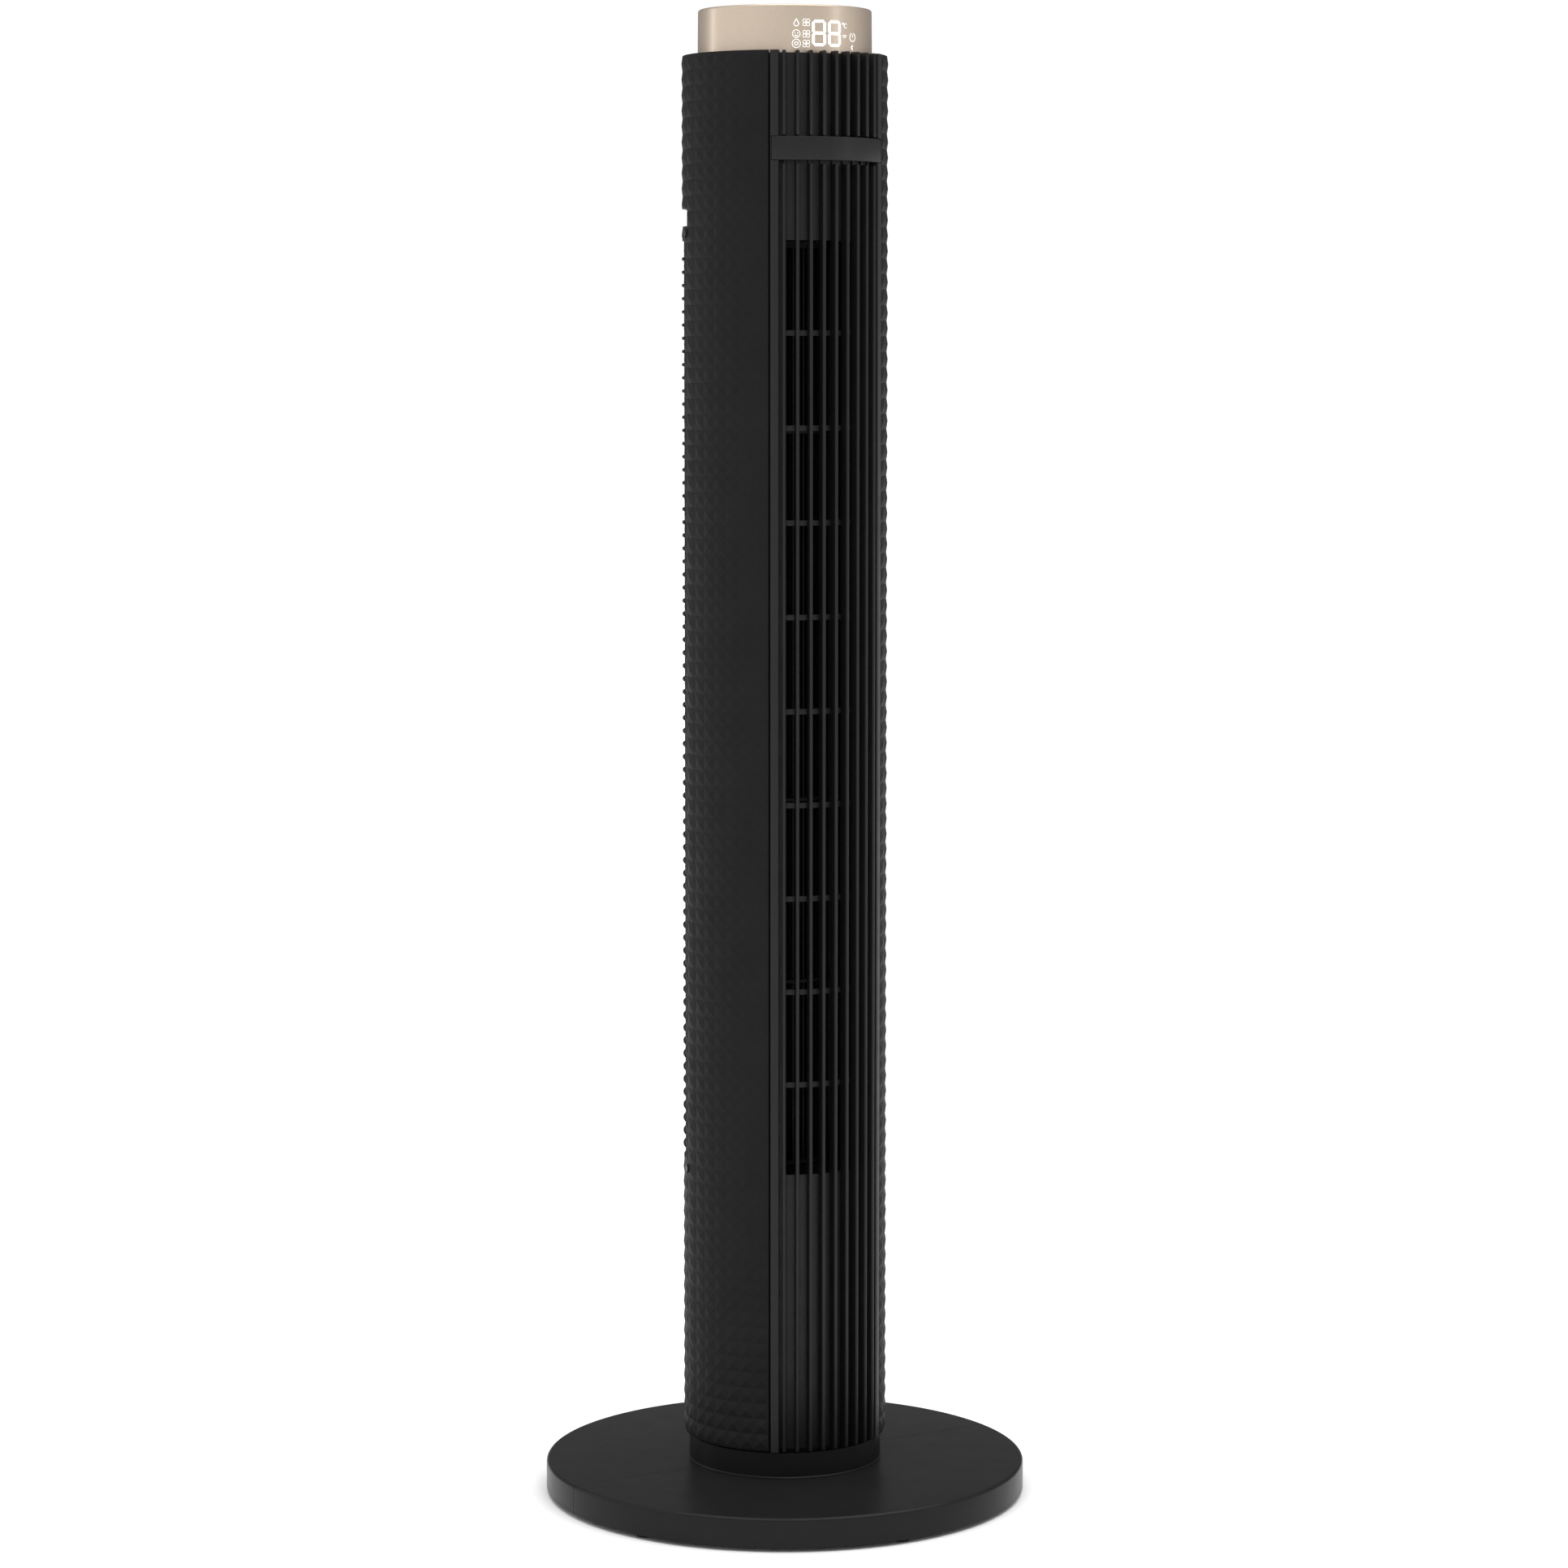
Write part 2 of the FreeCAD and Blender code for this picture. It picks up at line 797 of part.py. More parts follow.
def oscillation_pinion():
    """The pinion with its motor shaft; a gap between two teeth faces the fixed gear."""
    low = DIMENSIONS["pinion_low"]
    teeth = DIMENSIONS["pinion_teeth"]
    shaft_high = DIMENSIONS["floor_top"] + 8
    shape = gear_shape(teeth, 0, DIMENSIONS["pinion_thick"], REAR + 180 + 180 / teeth)
    shaft = Part.makeCylinder(DIMENSIONS["pinion_shaft"], shaft_high - low)
    feature = doc.addObject("Part::Feature", "oscillation_pinion")
    feature.Shape = shape.fuse(shaft).removeSplitter()
    feature.Placement = Placement(Vector(0, pinion_reach().value, low), Rotation())
    keep(feature, "oscillation_pinion")


# --- tower floor and swing motor --------------------------------------------------------------

def swing_ears():
    """The two points where the swing motor's ears are screwed down."""
    return [(-S.swing_ear_reach, pinion_reach()), (S.swing_ear_reach, pinion_reach())]


def turntable():
    """The tower's floor, with the hub that turns on the pivot post."""
    body = new_body("turntable")
    bore = S.post_outer + S.running_gap
    revolve(body, [
        (bore, S.hub_low),
        (S.hub_radius, S.hub_low),
        (S.hub_radius, S.floor_low),
        (S.floor_outer, S.floor_low),
        (S.floor_outer, S.floor_step),
        (S.chassis_radius, S.floor_step),
        (S.chassis_radius, S.floor_top),
        (S.hub_radius, S.floor_top),
        (S.hub_radius, S.hub_top),
        (bore, S.hub_top),
    ])
    holes = [(0, pinion_reach(), S.pinion_shaft + 2)]
    holes += [(x, y, S.swing_screw + S.hole_gap) for x, y in swing_ears()]
    drill(body, holes, S.floor_low - 1, S.floor_top + 1)


def oscillation_motor():
    """A flat gear motor: a round can between two ears, with a bearing bore for its shaft."""
    low = S.floor_top + S.seat_gap
    high = low + S.swing_ear_thick
    ear = S.swing_ear_radius
    reach = pinion_reach()
    can = cylinder(S.swing_motor_radius, low, low + S.swing_motor_tall, 0, reach)
    ears = [cylinder(ear, low, high, x, y) for x, y in swing_ears()]
    bridge = block(-S.swing_ear_reach, S.swing_ear_reach, reach - ear, reach + ear, low, high)
    bore = cylinder(S.pinion_shaft + S.running_gap, low - 1, low + 9, 0, reach)
    holes = [cylinder(S.swing_screw + S.hole_gap, low - 1, low + 3, x, y) for x, y in swing_ears()]
    keep(cut(fuse([can, bridge] + ears), fuse([bore] + holes)), "oscillation_motor")


def oscillation_motor_screws():
    low = S.floor_top + S.seat_gap + S.swing_ear_thick
    screws = [screw(x, y, S.swing_screw_head, low, low + 2, S.swing_screw, S.floor_low + 0.5, low)
              for x, y in swing_ears()]
    keep(group(screws), "oscillation_motor_screws")


def power_board():
    """The mains board: an upright board in the lower bay with its largest components."""
    back = -S.power_board_front
    half = S.power_board_wide / 2
    low = S.power_board_low
    board = block(-half, half, back - S.power_board_thick, back, low, low + S.power_board_tall)
    transformer = block(as_size(-24), as_size(-2), back, back + 16, low + 40, low + 60)
    relay = block(as_size(8), as_size(24), back, back + 12, low + 66, low + 82)
    capacitors = [cylinder(as_size(5), low + 20 + 14 * step, low + 31 + 14 * step, 20, back + 4.5)
                  for step in range(2)]
    keep(fuse([board, transformer, relay] + capacitors), "power_board")


# --- tower skin -------------------------------------------------------------------------------

def fin_outline(sketch):
    """A fin in plan: straight sides and a full round nose, pointing along +X."""
    half = S.fin_thick / 2
    centre = S.tower_radius - half
    root = S.fin_root
    up = half.value
    middle = Vector(centre.value, 0, 0)
    sketch.addGeometry([
        Part.LineSegment(Vector(root.value, -up, 0), Vector(centre.value, -up, 0)),
        Part.ArcOfCircle(Part.Circle(middle, UP, up), -math.pi / 2, math.pi / 2),
        Part.LineSegment(Vector(centre.value, up, 0), Vector(root.value, up, 0)),
        Part.LineSegment(Vector(root.value, up, 0), Vector(root.value, -up, 0)),
    ])
    for rule in [
        ("Tangent", 0, 2, 1, 1),
        ("Tangent", 1, 2, 2, 1),
        ("Coincident", 2, 2, 3, 1),
        ("Coincident", 3, 2, 0, 1),
        ("Horizontal", 0),
        ("Horizontal", 2),
        ("Vertical", 3),
        ("PointOnObject", 1, 3, -1),
    ]:
        sketch.addConstraint(Sketcher.Constraint(*rule))
    hold(sketch, "DistanceX", -1, 1, 1, 3, size=centre)
    hold(sketch, "DistanceX", -1, 1, 0, 1, size=root)
    hold(sketch, "Radius", 1, size=half)
    return sketch


def front_grille():
    """The front moulding: a curved backing with a barred window, two cheeks and nine fins."""
    body = new_body("front_grille")
    outside = S.tower_radius + 2
    row = (S.window_high - S.window_low) / S.window_rows
    revolve(body, ring_profile(S.backing_inner, S.tower_radius, S.tower_low, S.tower_high),
            S.front_half_angle)
    revolve(body, ring_profile(S.backing_inner, S.backing_outer, S.backing_low, S.backing_high),
            S.backing_half_angle)
    below, above = S.tower_low - 1, S.tower_high + 1
    groove(body, ring_profile(S.backing_outer, outside, below, above), S.cheek_from)
    groove(body, ring_profile(S.backing_inner - 1, outside, below, S.backing_low), S.cheek_from)
    groove(body, ring_profile(S.backing_inner - 1, outside, S.backing_high, above), S.cheek_from)
    groove(body, ring_profile(S.backing_inner - 1, S.fin_root, below, S.backing_low),
           S.front_half_angle + 1)
    pane = ring_profile(S.backing_inner - 1, S.backing_outer + 1, S.window_low, S.window_low + row - S.bar_tall)
    window = groove(body, pane, S.window_half_angle)
    repeat_up(body, window, row, S.window_rows)
    start = -S.fin_pitch * (S.fin_count - 1) / 2
    fin = pad(body, fin_outline(new_sketch(body, "XY_Plane", S.tower_low)), S.tower_high - S.tower_low)
    fin.Profile[0].AttachmentOffset = Placement(Vector(0, 0, 0), Rotation(UP, start.value))
    bind(fin.Profile[0], "AttachmentOffset.Base.z", S.tower_low)
    repeat_round(body, fin, S.fin_pitch * (S.fin_count - 1), S.fin_count)
    groove(body, ring_profile(S.band_inner - S.band_gap, outside, S.fins_stop_below, S.fins_start_above),
           S.cheek_from)
    groove(body, ring_profile(S.band_flange_inner - S.band_gap, outside, S.band_low - S.band_gap,
                              S.band_high + S.band_gap), S.band_half_angle + S.band_gap)
    place(body, turn=FRONT)


def front_band():
    """The strap across the grille, let into the fins and lapped over both cheeks."""
    body = new_body("front_band")
    revolve(body, ring_profile(S.band_flange_inner, S.tower_radius, S.band_low, S.band_high),
            S.band_half_angle)
    revolve(body, ring_profile(S.band_inner, S.band_flange_inner + 0.5, S.band_low, S.band_high),
            S.cheek_from - S.band_gap)
    place(body, turn=FRONT)


def skin_profile():
    """The section of a side panel or the rear housing, with its turned-in foot and floor lip."""
    return [
        (S.skin_inner, S.tower_low),
        (S.skin_radius - S.foot_step, S.tower_low),
        (S.skin_radius - S.foot_step * 0.3, S.tower_low + S.foot_of_skin * 0.35),
        (S.skin_radius, S.tower_low + S.foot_of_skin),
        (S.skin_radius, S.tower_high),
        (S.skin_inner, S.tower_high),
        (S.skin_inner, S.lip_high),
        (S.lip_inner, S.lip_high),
        (S.lip_inner, S.lip_low),
        (S.skin_inner, S.lip_low),
    ]


def side_panels():
    half = (S.panel_to - S.panel_from) / 2
    middle = (S.panel_to + S.panel_from).value / 2
    turned("side_panel_left", skin_profile(), half, FRONT - middle)
    turned("side_panel_right", skin_profile(), half, FRONT + middle)


def intake_high():
    return S.intake_low + S.rib_pitch * (S.rib_count + 1) - S.rib_tall


def rear_housing():
    """The rear shell, open for the intake, with the handle slot above."""
    body = new_body("rear_housing")
    outside = S.tower_radius + 2
    revolve(body, skin_profile(), 180 - S.rear_from)
    groove(body, ring_profile(S.skin_inner - 4, outside, S.intake_low, intake_high()), S.intake_half_angle)
    groove(body, ring_profile(S.skin_inner - 4, outside, S.slot_low, S.slot_high), S.slot_half_angle)
    groove(body, ring_profile(S.skin_inner - 4, outside, S.slot_low, S.grip_high), S.grip_half_angle)
    drill_level(body, housing_screw_places(), S.skin_inner - 2, S.tower_radius)
    place(body, turn=REAR)


def arc_slab(inner, outer, spans, half):
    """Curved slabs centred on the rear, one for each (low, high) of spans."""
    slices = [cylinder(outer, low, high, start=REAR - half.value, sweep=half * 2) for low, high in spans]
    core = cylinder(inner, spans[0][0] - 1, spans[-1][1] + 1)
    return cut(group(slices), core)


def upright_tie(angle):
    """A bar behind the ribs, at an angle round the tower."""
    low = S.intake_low + 1
    corner = Rotation(UP, angle).multVec(Vector((S.rib_inner - 0.1).value, -S.tie_wide.value / 2, 0))
    bar = block(S.rib_inner - 0.1, S.tie_outer, -S.tie_wide / 2, S.tie_wide / 2, low, intake_high() - 1)
    return place(bar, corner.x, corner.y, low, turn=angle)


def rear_grille():
    """The intake grille: level ribs in a thinner frame, held by upright ties behind them."""
    half = S.intake_half_angle - S.grille_gap
    inside_half = half - S.stile_angle
    low = S.intake_low + S.grille_gap
    high = intake_high() - S.grille_gap
    opening = arc_slab(S.frame_inner - 1, S.skin_radius + 1,
                       [(S.intake_low + S.rib_tall, intake_high() - S.rib_tall)], inside_half)
    frame = cut(arc_slab(S.frame_inner, S.skin_radius, [(low, high)], half), opening)
    feet = [S.intake_low + S.rib_pitch * number for number in range(1, DIMENSIONS["rib_count"])]
    ribs = arc_slab(S.rib_inner, S.tower_radius, [(foot, foot + S.rib_tall) for foot in feet],
                    inside_half + S.rib_end_lap)
    count = DIMENSIONS["tie_count"]
    ties = [upright_tie(REAR + DIMENSIONS["tie_pitch"] * (number - (count - 1) / 2))
            for number in range(count)]
    keep(fuse([frame, ribs] + ties), "rear_grille")


def housing_screw_places():
    """(angle from the rear, height) of the screws that hold the rear housing to the bulkheads."""
    heights = [bulkhead_screw_height(S.lower_bulkhead_low),
               bulkhead_screw_height(S.upper_bulkhead_low) + S.housing_screw_lift]
    return [(side * S.housing_screw_angle.value, height) for side in (-1, 1) for height in heights]


def bulkhead_screw_height(low):
    return low + S.bulkhead_thick / 2


def drill_level(body, places, near, far):
    """Cut level holes that point outwards."""
    for angle, height in places:
        sketch = new_sketch(body, "YZ_Plane")
        circles(sketch, [(0, height, S.housing_screw + S.hole_gap)])
        turn = Rotation(Vector(0, 1, 0), angle)
        outwards = turn.multVec(UP)
        sketch.AttachmentOffset = Placement(Vector(), turn)
        bind(sketch, "AttachmentOffset.Base.x", near * outwards.x)
        bind(sketch, "AttachmentOffset.Base.z", near * outwards.z)
        feature = body.newObject("PartDesign::Pocket", "LevelDrill")
        feature.Profile = sketch
        feature.Reversed = True
        bind(feature, "Length", far - near + 2)


def housing_screws():
    screws = []
    for angle, height in housing_screw_places():
        head = lying_cylinder(S.housing_screw_head, S.skin_radius + S.hole_gap, S.skin_radius + 1.4,
                              height, REAR + angle)
        shank = lying_cylinder(S.housing_screw, S.skin_radius - 10, S.skin_radius + 0.5,
                               height, REAR + angle)
        screws.append(fuse([head, shank]))
    keep(group(screws), "housing_screws")


def handle_pocket():
    """The cup behind the handle slot: a floor, two shelves and closed ends."""
    shell = new_body("handle_pocket")
    outer = S.pocket_outer
    wall = S.pocket_wall
    revolve(shell, ring_profile(S.pocket_inner, outer, S.pocket_low, S.pocket_high), S.pocket_half_angle)
    groove(shell, ring_profile(S.pocket_inner + wall, outer + 1, S.pocket_low + wall, S.pocket_high - wall),
           S.slot_half_angle)
    place(shell, turn=REAR)


# --- bulkheads and air duct -------------------------------------------------------------------

def damper_points():
    """The four motor screws, round the impeller's axis."""
    points = [on_circle(S.damper_circle, 45 + 90 * step) for step in range(4)]
    return [(x, y + S.impeller_back) for x, y in points]


def bulkhead(label, low, holes, screw_height):
    """A wall across the tower: narrow behind the grille, wide towards the sides and the back."""
    high = low + S.bulkhead_thick
    start = REAR - S.bulkhead_half_angle.value
    disc = cylinder(S.chassis_radius, low, high)
    wide = cylinder(S.bulkhead_radius, low, high, start=start, sweep=S.bulkhead_half_angle * 2)
    tools = [cylinder(radius, low - 1, high + 1, x, y) for x, y, radius in holes]
    for side in (-1, 1):
        tools.append(lying_cylinder(S.housing_screw + S.hole_gap, S.skin_radius - 12, S.skin_radius,
                                    screw_height, REAR + side * S.housing_screw_angle.value))
    keep(cut(fuse([disc, wide]), fuse(tools)), label)


def bulkheads():
    back = S.impeller_back
    lower = [(0, back, S.drive_hub_radius + 2)]
    lower += [(x, y, S.motor_screw + S.hole_gap) for x, y in damper_points()]
    upper = [(0, back, S.rubber_radius + S.hole_gap)]
    low_screws = bulkhead_screw_height(S.lower_bulkhead_low)
    high_screws = bulkhead_screw_height(S.upper_bulkhead_low) + S.housing_screw_lift
    bulkhead("lower_bulkhead", S.lower_bulkhead_low, lower, low_screws)
    bulkhead("upper_bulkhead", S.upper_bulkhead_low, upper, high_screws)


def duct_span():
    low = S.lower_bulkhead_low + S.bulkhead_thick + S.hole_gap
    return low, S.upper_bulkhead_low - S.hole_gap


def duct_scroll():
    """The scroll wall: a logarithmic spiral that opens from the impeller to the window's edge."""
    start = math.radians(DIMENSIONS["scroll_start"])
    end = math.radians(DIMENSIONS["scroll_end"])
    first = DIMENSIONS["impeller_radius"] + DIMENSIONS["scroll_gap"]
    growth = DIMENSIONS["scroll_growth"]
    back = DIMENSIONS["impeller_back"]
    steps = 8

    def spiral(extra):
        points = []
        for step in range(steps + 1):
            angle = start + (end - start) * step / steps
            radius = first * math.exp(growth * (angle - start)) + extra
            points.append(Vector(radius * math.cos(angle), back + radius * math.sin(angle), 0))
        curve = Part.BSplineCurve()
        curve.interpolate(points)
        return curve.toShape(), points[0], points[-1]

    inside, inside_start, inside_end = spiral(0)
    outside, outside_start, outside_end = spiral(DIMENSIONS["duct_wall"])
    lip = Part.LineSegment(outside_start, inside_start).toShape()
    mouth = Part.LineSegment(inside_end, outside_end).toShape()
    wire = Part.Wire(Part.__sortEdges__([inside, mouth, outside, lip]))
    low, high = duct_span()
    feature = doc.addObject("Part::Feature", "duct_scroll")
    feature.Shape = Part.Face(wire).extrude(Vector(0, 0, high.value - low.value))
    feature.Placement = Placement(Vector(0, 0, low.value), Rotation())
    keep(feature, "duct_scroll")


# The inner face of the tongue in plan, from the window's edge round the impeller to the side.
TONGUE_CORNERS = [
    (33.4, -51.4),
    (34.2, -17.5),
    (38.2, -12.8),
    (44.6, 2.0),
    (46.5, 15.5),
    (44.0, 26.0),
    (59.5, 30.5),
]


def duct_tongue():
    """The tongue: a folded wall whose nose stands close to the impeller."""
    body = new_body("duct_tongue")
    low, high = duct_span()
    wall = S.duct_wall
    inner = [(as_size(x), as_size(y)) for x, y in TONGUE_CORNERS]
    outer = [(x + wall, y - wall * 0.6) for x, y in inner[::-1]]
    pad(body, outline(new_sketch(body, "XY_Plane", low), inner + outer), high - low)


# --- impeller and fan motor -------------------------------------------------------------------

def blade_outline(sketch):
    """A curved blade in plan: two arcs about one centre, closed by radial ends."""
    outer = S.blade_curve + S.blade_thick / 2
    inner = S.blade_curve - S.blade_thick / 2
    centre_x = S.blade_inner + S.blade_reach
    centre_y = S.blade_offset
    middle = Vector(centre_x.value, centre_y.value, 0)
    first = math.pi + math.radians(DIMENSIONS["blade_tilt"])
    sweep = math.radians(DIMENSIONS["blade_sweep"])
    arcs = [Part.ArcOfCircle(Part.Circle(middle, UP, size.value), first, first + sweep) for size in (outer, inner)]
    sketch.addGeometry(arcs)
    ends = [(arc.StartPoint, arc.EndPoint) for arc in arcs]
    sketch.addGeometry([Part.LineSegment(ends[0][0], ends[1][0]), Part.LineSegment(ends[0][1], ends[1][1])])
    for rule in [
        ("Coincident", 0, 3, 1, 3),
        ("Coincident", 2, 1, 0, 1),
        ("Coincident", 2, 2, 1, 1),
        ("Coincident", 3, 1, 0, 2),
        ("Coincident", 3, 2, 1, 2),
        ("PointOnObject", 0, 3, 2),
        ("PointOnObject", 0, 3, 3),
        ("Angle", 2, math.radians(DIMENSIONS["blade_tilt"])),
    ]:
        sketch.addConstraint(Sketcher.Constraint(*rule))
    hold(sketch, "DistanceX", -1, 1, 0, 3, size=centre_x)
    hold(sketch, "DistanceY", -1, 1, 0, 3, size=centre_y)
    hold(sketch, "Radius", 0, size=outer)
    hold(sketch, "Radius", 1, size=inner)
    spread = sketch.addConstraint(Sketcher.Constraint("Angle", 2, 3, sweep))
    sketch.setExpression(f"Constraints[{spread}]", "Sizes.blade_sweep * 1 deg")
    return sketch


def impeller_section(number, low, tall):
    """One moulded length of the impeller: a ring of curved blades under a stiffening disc."""
    body = new_body(f"impeller_section_{number}")
    ring = ring_profile(S.blade_inner - 1.5, S.impeller_radius, tall - S.disc_thick, tall)
    revolve(body, ring)
    blade = pad(body, blade_outline(new_sketch(body, "XY_Plane")), tall - 1)
    repeat_round(body, blade, 360, S.blade_count)
    place(body, 0, S.impeller_back, low)


def impeller_sections():
    count = DIMENSIONS["impeller_sections"]
    tall = (S.impeller_high - S.impeller_low) / S.impeller_sections
    for number in range(count):
        impeller_section(number + 1, S.impeller_low + tall * number, tall)


def impeller_drive_disc():
    """The bottom disc with the hub that the motor shaft drives."""
    bore = S.motor_shaft + S.fit_gap
    turned("impeller_drive_disc", [
        (bore, S.drive_hub_low),
        (S.drive_hub_radius, S.drive_hub_low),
        (S.drive_hub_radius, S.impeller_low - S.end_disc_thick),
        (S.impeller_radius, S.impeller_low - S.end_disc_thick),
        (S.impeller_radius, S.impeller_low),
        (bore, S.impeller_low),
    ], y=S.impeller_back)


def impeller_end_disc():
    """The top disc, with a hub that holds the stub shaft."""
    bore = S.stub_radius + S.fit_gap
    turned("impeller_end_disc", [
        (bore, S.stub_low),
        (S.end_hub_radius, S.stub_low),
        (S.end_hub_radius, S.impeller_high),
        (S.impeller_radius, S.impeller_high),
        (S.impeller_radius, S.impeller_high + S.end_disc_thick),
        (bore, S.impeller_high + S.end_disc_thick),
    ], y=S.impeller_back)


def impeller_stub_shaft():
    keep(cylinder(S.stub_radius, S.stub_low, S.stub_high, 0, S.impeller_back), "impeller_stub_shaft")


def motor_rotor():
    """The rotor on its shaft."""
    high = S.stator_low + S.stator_tall
    turned("motor_rotor", [
        (0, S.shaft_low),
        (S.motor_shaft, S.shaft_low),
        (S.motor_shaft, S.stator_low),
        (S.rotor_radius, S.stator_low),
        (S.rotor_radius, high),
        (S.motor_shaft, high),
        (S.motor_shaft, S.impeller_low),
        (0, S.impeller_low),
    ], y=S.impeller_back)


def motor_housing():
    """The closed motor can with a bearing boss at each end."""
    bore = S.motor_shaft + S.running_gap
    wall = S.motor_wall
    turned("motor_housing", [
        (bore, S.motor_low),
        (S.motor_radius, S.motor_low),
        (S.motor_radius, S.motor_high),
        (bore, S.motor_high),
        (bore, S.motor_high - S.motor_boss_deep),
        (S.motor_boss, S.motor_high - S.motor_boss_deep),
        (S.motor_boss, S.motor_high - wall),
        (S.motor_radius - wall, S.motor_high - wall),
        (S.motor_radius - wall, S.motor_low + wall),
        (S.motor_boss, S.motor_low + wall),
        (S.motor_boss, S.motor_low + S.motor_boss_deep),
        (bore, S.motor_low + S.motor_boss_deep),
    ], y=S.impeller_back)


def motor_stator():
    """The slotted iron ring round the rotor."""
    body = new_body("motor_stator")
    outer = S.motor_radius - S.motor_wall - S.seat_gap
    high = S.stator_low + S.stator_tall
    revolve(body, ring_profile(S.stator_inner, outer, S.stator_low, high))
    notch = new_sketch(body, "XY_Plane", S.stator_low - 1)
    outline(notch, box_corners(S.stator_inner - 2, S.stator_slot_reach, as_size(-2), as_size(2)))
    slot = body.newObject("PartDesign::Pocket", "WindingSlot")
    slot.Profile = notch
    slot.Reversed = True
    bind(slot, "Length", S.stator_tall + 2)
    repeat_round(body, slot, 360, S.stator_slots)
    place(body, y=S.impeller_back)


def motor_plate():
    """The steel plate that carries the motor on four rubber dampers."""
    body = new_body("motor_plate")
    low = S.motor_high + S.hole_gap
    revolve(body, ring_profile(S.drive_hub_radius + 2, S.plate_radius, low, low + S.plate_thick))
    holes = [(*on_circle(S.damper_circle, 45 + 90 * step), S.motor_screw + S.seat_gap) for step in range(4)]
    drill(body, holes, low - 1, low + S.plate_thick + 1)
    place(body, y=S.impeller_back)


def motor_dampers():
    low = S.motor_high + S.hole_gap + S.plate_thick
    high = S.lower_bulkhead_low
    dampers = [cut(cylinder(S.damper_radius, low, high, x, y),
                   cylinder(S.motor_screw + S.damper_gap, low - 1, high + 1, x, y))
               for x, y in damper_points()]
    keep(group(dampers), "motor_dampers")


def motor_screws():
    low = S.motor_high + S.hole_gap
    screws = [screw(x, y, S.motor_screw_head, low - 2.6, low, S.motor_screw, low, S.lower_bulkhead_low + 5)
              for x, y in damper_points()]
    keep(group(screws), "motor_screws")


def top_bearing():
    """A rubber-mounted bush in the upper bulkhead."""
    low = S.upper_bulkhead_low
    high = low + S.bulkhead_thick
    rubber = ring_profile(S.bush_radius + S.hole_gap, S.rubber_radius, low, high)
    bush = ring_profile(S.stub_radius + S.running_gap, S.bush_radius, low + 0.5, high - 0.5)
    turned("top_bearing_rubber", rubber, y=S.impeller_back)
    turned("top_bearing_bush", bush, y=S.impeller_back)


# --- top of the tower -------------------------------------------------------------------------

KEYS = ["timer_key", "mode_key", "power_key", "speed_key", "swing_key"]


def key_points():
    """The keys stand on an arc in front of the tower's axis."""
    middle = (len(KEYS) - 1) / 2
    spread = DIMENSIONS["key_spread"]
    return [on_circle(S.key_circle, FRONT + spread * (number - middle)) for number in range(len(KEYS))]


def board_points():
    return [on_circle(S.board_post_circle, angle) for angle in (0, 60, 120, 180)]


def top_deck():
    """The deck across the tower's top, with posts for the control board."""
    high = S.deck_low + S.deck_thick
    start = REAR - S.bulkhead_half_angle.value
    disc = cylinder(S.chassis_radius, S.deck_low, high)
    wide = cylinder(S.bulkhead_radius, S.deck_low, high, start=start, sweep=S.bulkhead_half_angle * 2)
    hole = block(-S.deck_hole_half, S.deck_hole_half, -S.deck_hole_front, S.deck_hole_rear,
                 S.deck_low - 1, high + 1)
    posts = [cylinder(S.board_post_radius, high - 1, S.board_low, x, y) for x, y in board_points()]
    bores = [cylinder(S.board_screw + S.hole_gap, S.board_low - S.board_bore_deep, S.board_low + 1, x, y)
             for x, y in board_points()]
    keep(cut(fuse([cut(fuse([disc, wide]), hole)] + posts), fuse(bores)), "top_deck")


def top_cap():
    """The cap round the display, slightly wider at its foot, open at the top for the panel."""
    body = new_body("top_cap")
    wall = S.cap_wall
    revolve(body, [
        (S.cap_radius + S.cap_draft - wall, S.cap_low),
        (S.cap_radius + S.cap_draft, S.cap_low),
        (S.cap_radius, S.cap_high),
        (S.cap_opening, S.cap_high),
        (S.cap_opening, S.cap_high - wall - 0.3),
        (S.cap_radius - wall, S.cap_high - wall - 0.3),
    ])
    round_edge(body, S.cap_edge_round, S.cap_radius, S.cap_high)


def control_panel():
    """The panel in the cap's top, held by a flange under the cap's rim."""
    body = new_body("control_panel")
    flange_inner = S.panel_flange - 4
    revolve(body, [
        (0, S.panel_low),
        (flange_inner, S.panel_low),
        (flange_inner, S.panel_flange_low),
        (S.panel_flange, S.panel_flange_low),
        (S.panel_flange, S.panel_flange_high),
        (S.panel_radius, S.panel_flange_high),
        (S.panel_radius, S.panel_high),
        (0, S.panel_high),
    ])
    holes = [(x, y, S.key_radius + S.key_gap) for x, y in key_points()]
    drill(body, holes, S.panel_low - 1, S.panel_high + 1)


def keys():
    """Sprung keys; a flange under the panel keeps each one in its hole."""
    for label, (x, y) in zip(KEYS, key_points()):
        turned(label, [
            (0, S.key_low),
            (S.key_flange_radius, S.key_low),
            (S.key_flange_radius, S.key_flange_top),
            (S.key_radius, S.key_flange_top),
            (S.key_radius, S.key_high),
            (0, S.key_high),
        ], x=x, y=y)


def key_mat():
    """The silicone sheet with a dome under each key."""
    domes = [cylinder(S.dome_radius, S.mat_low, S.dome_high, x, y) for x, y in key_points()]
    recesses = [cylinder(S.switch_radius + 0.5, S.mat_low - 1, S.mat_low + 2, x, y)
                for x, y in key_points()]
    sheet_disc = cylinder(S.mat_radius, S.mat_low, S.mat_low + S.mat_thick)
    reliefs = [cylinder(S.mat_relief, S.mat_low - 1, S.mat_low + 3, x, y) for x, y in board_points()]
    keep(cut(fuse([sheet_disc] + domes), fuse(recesses + reliefs)), "key_mat")


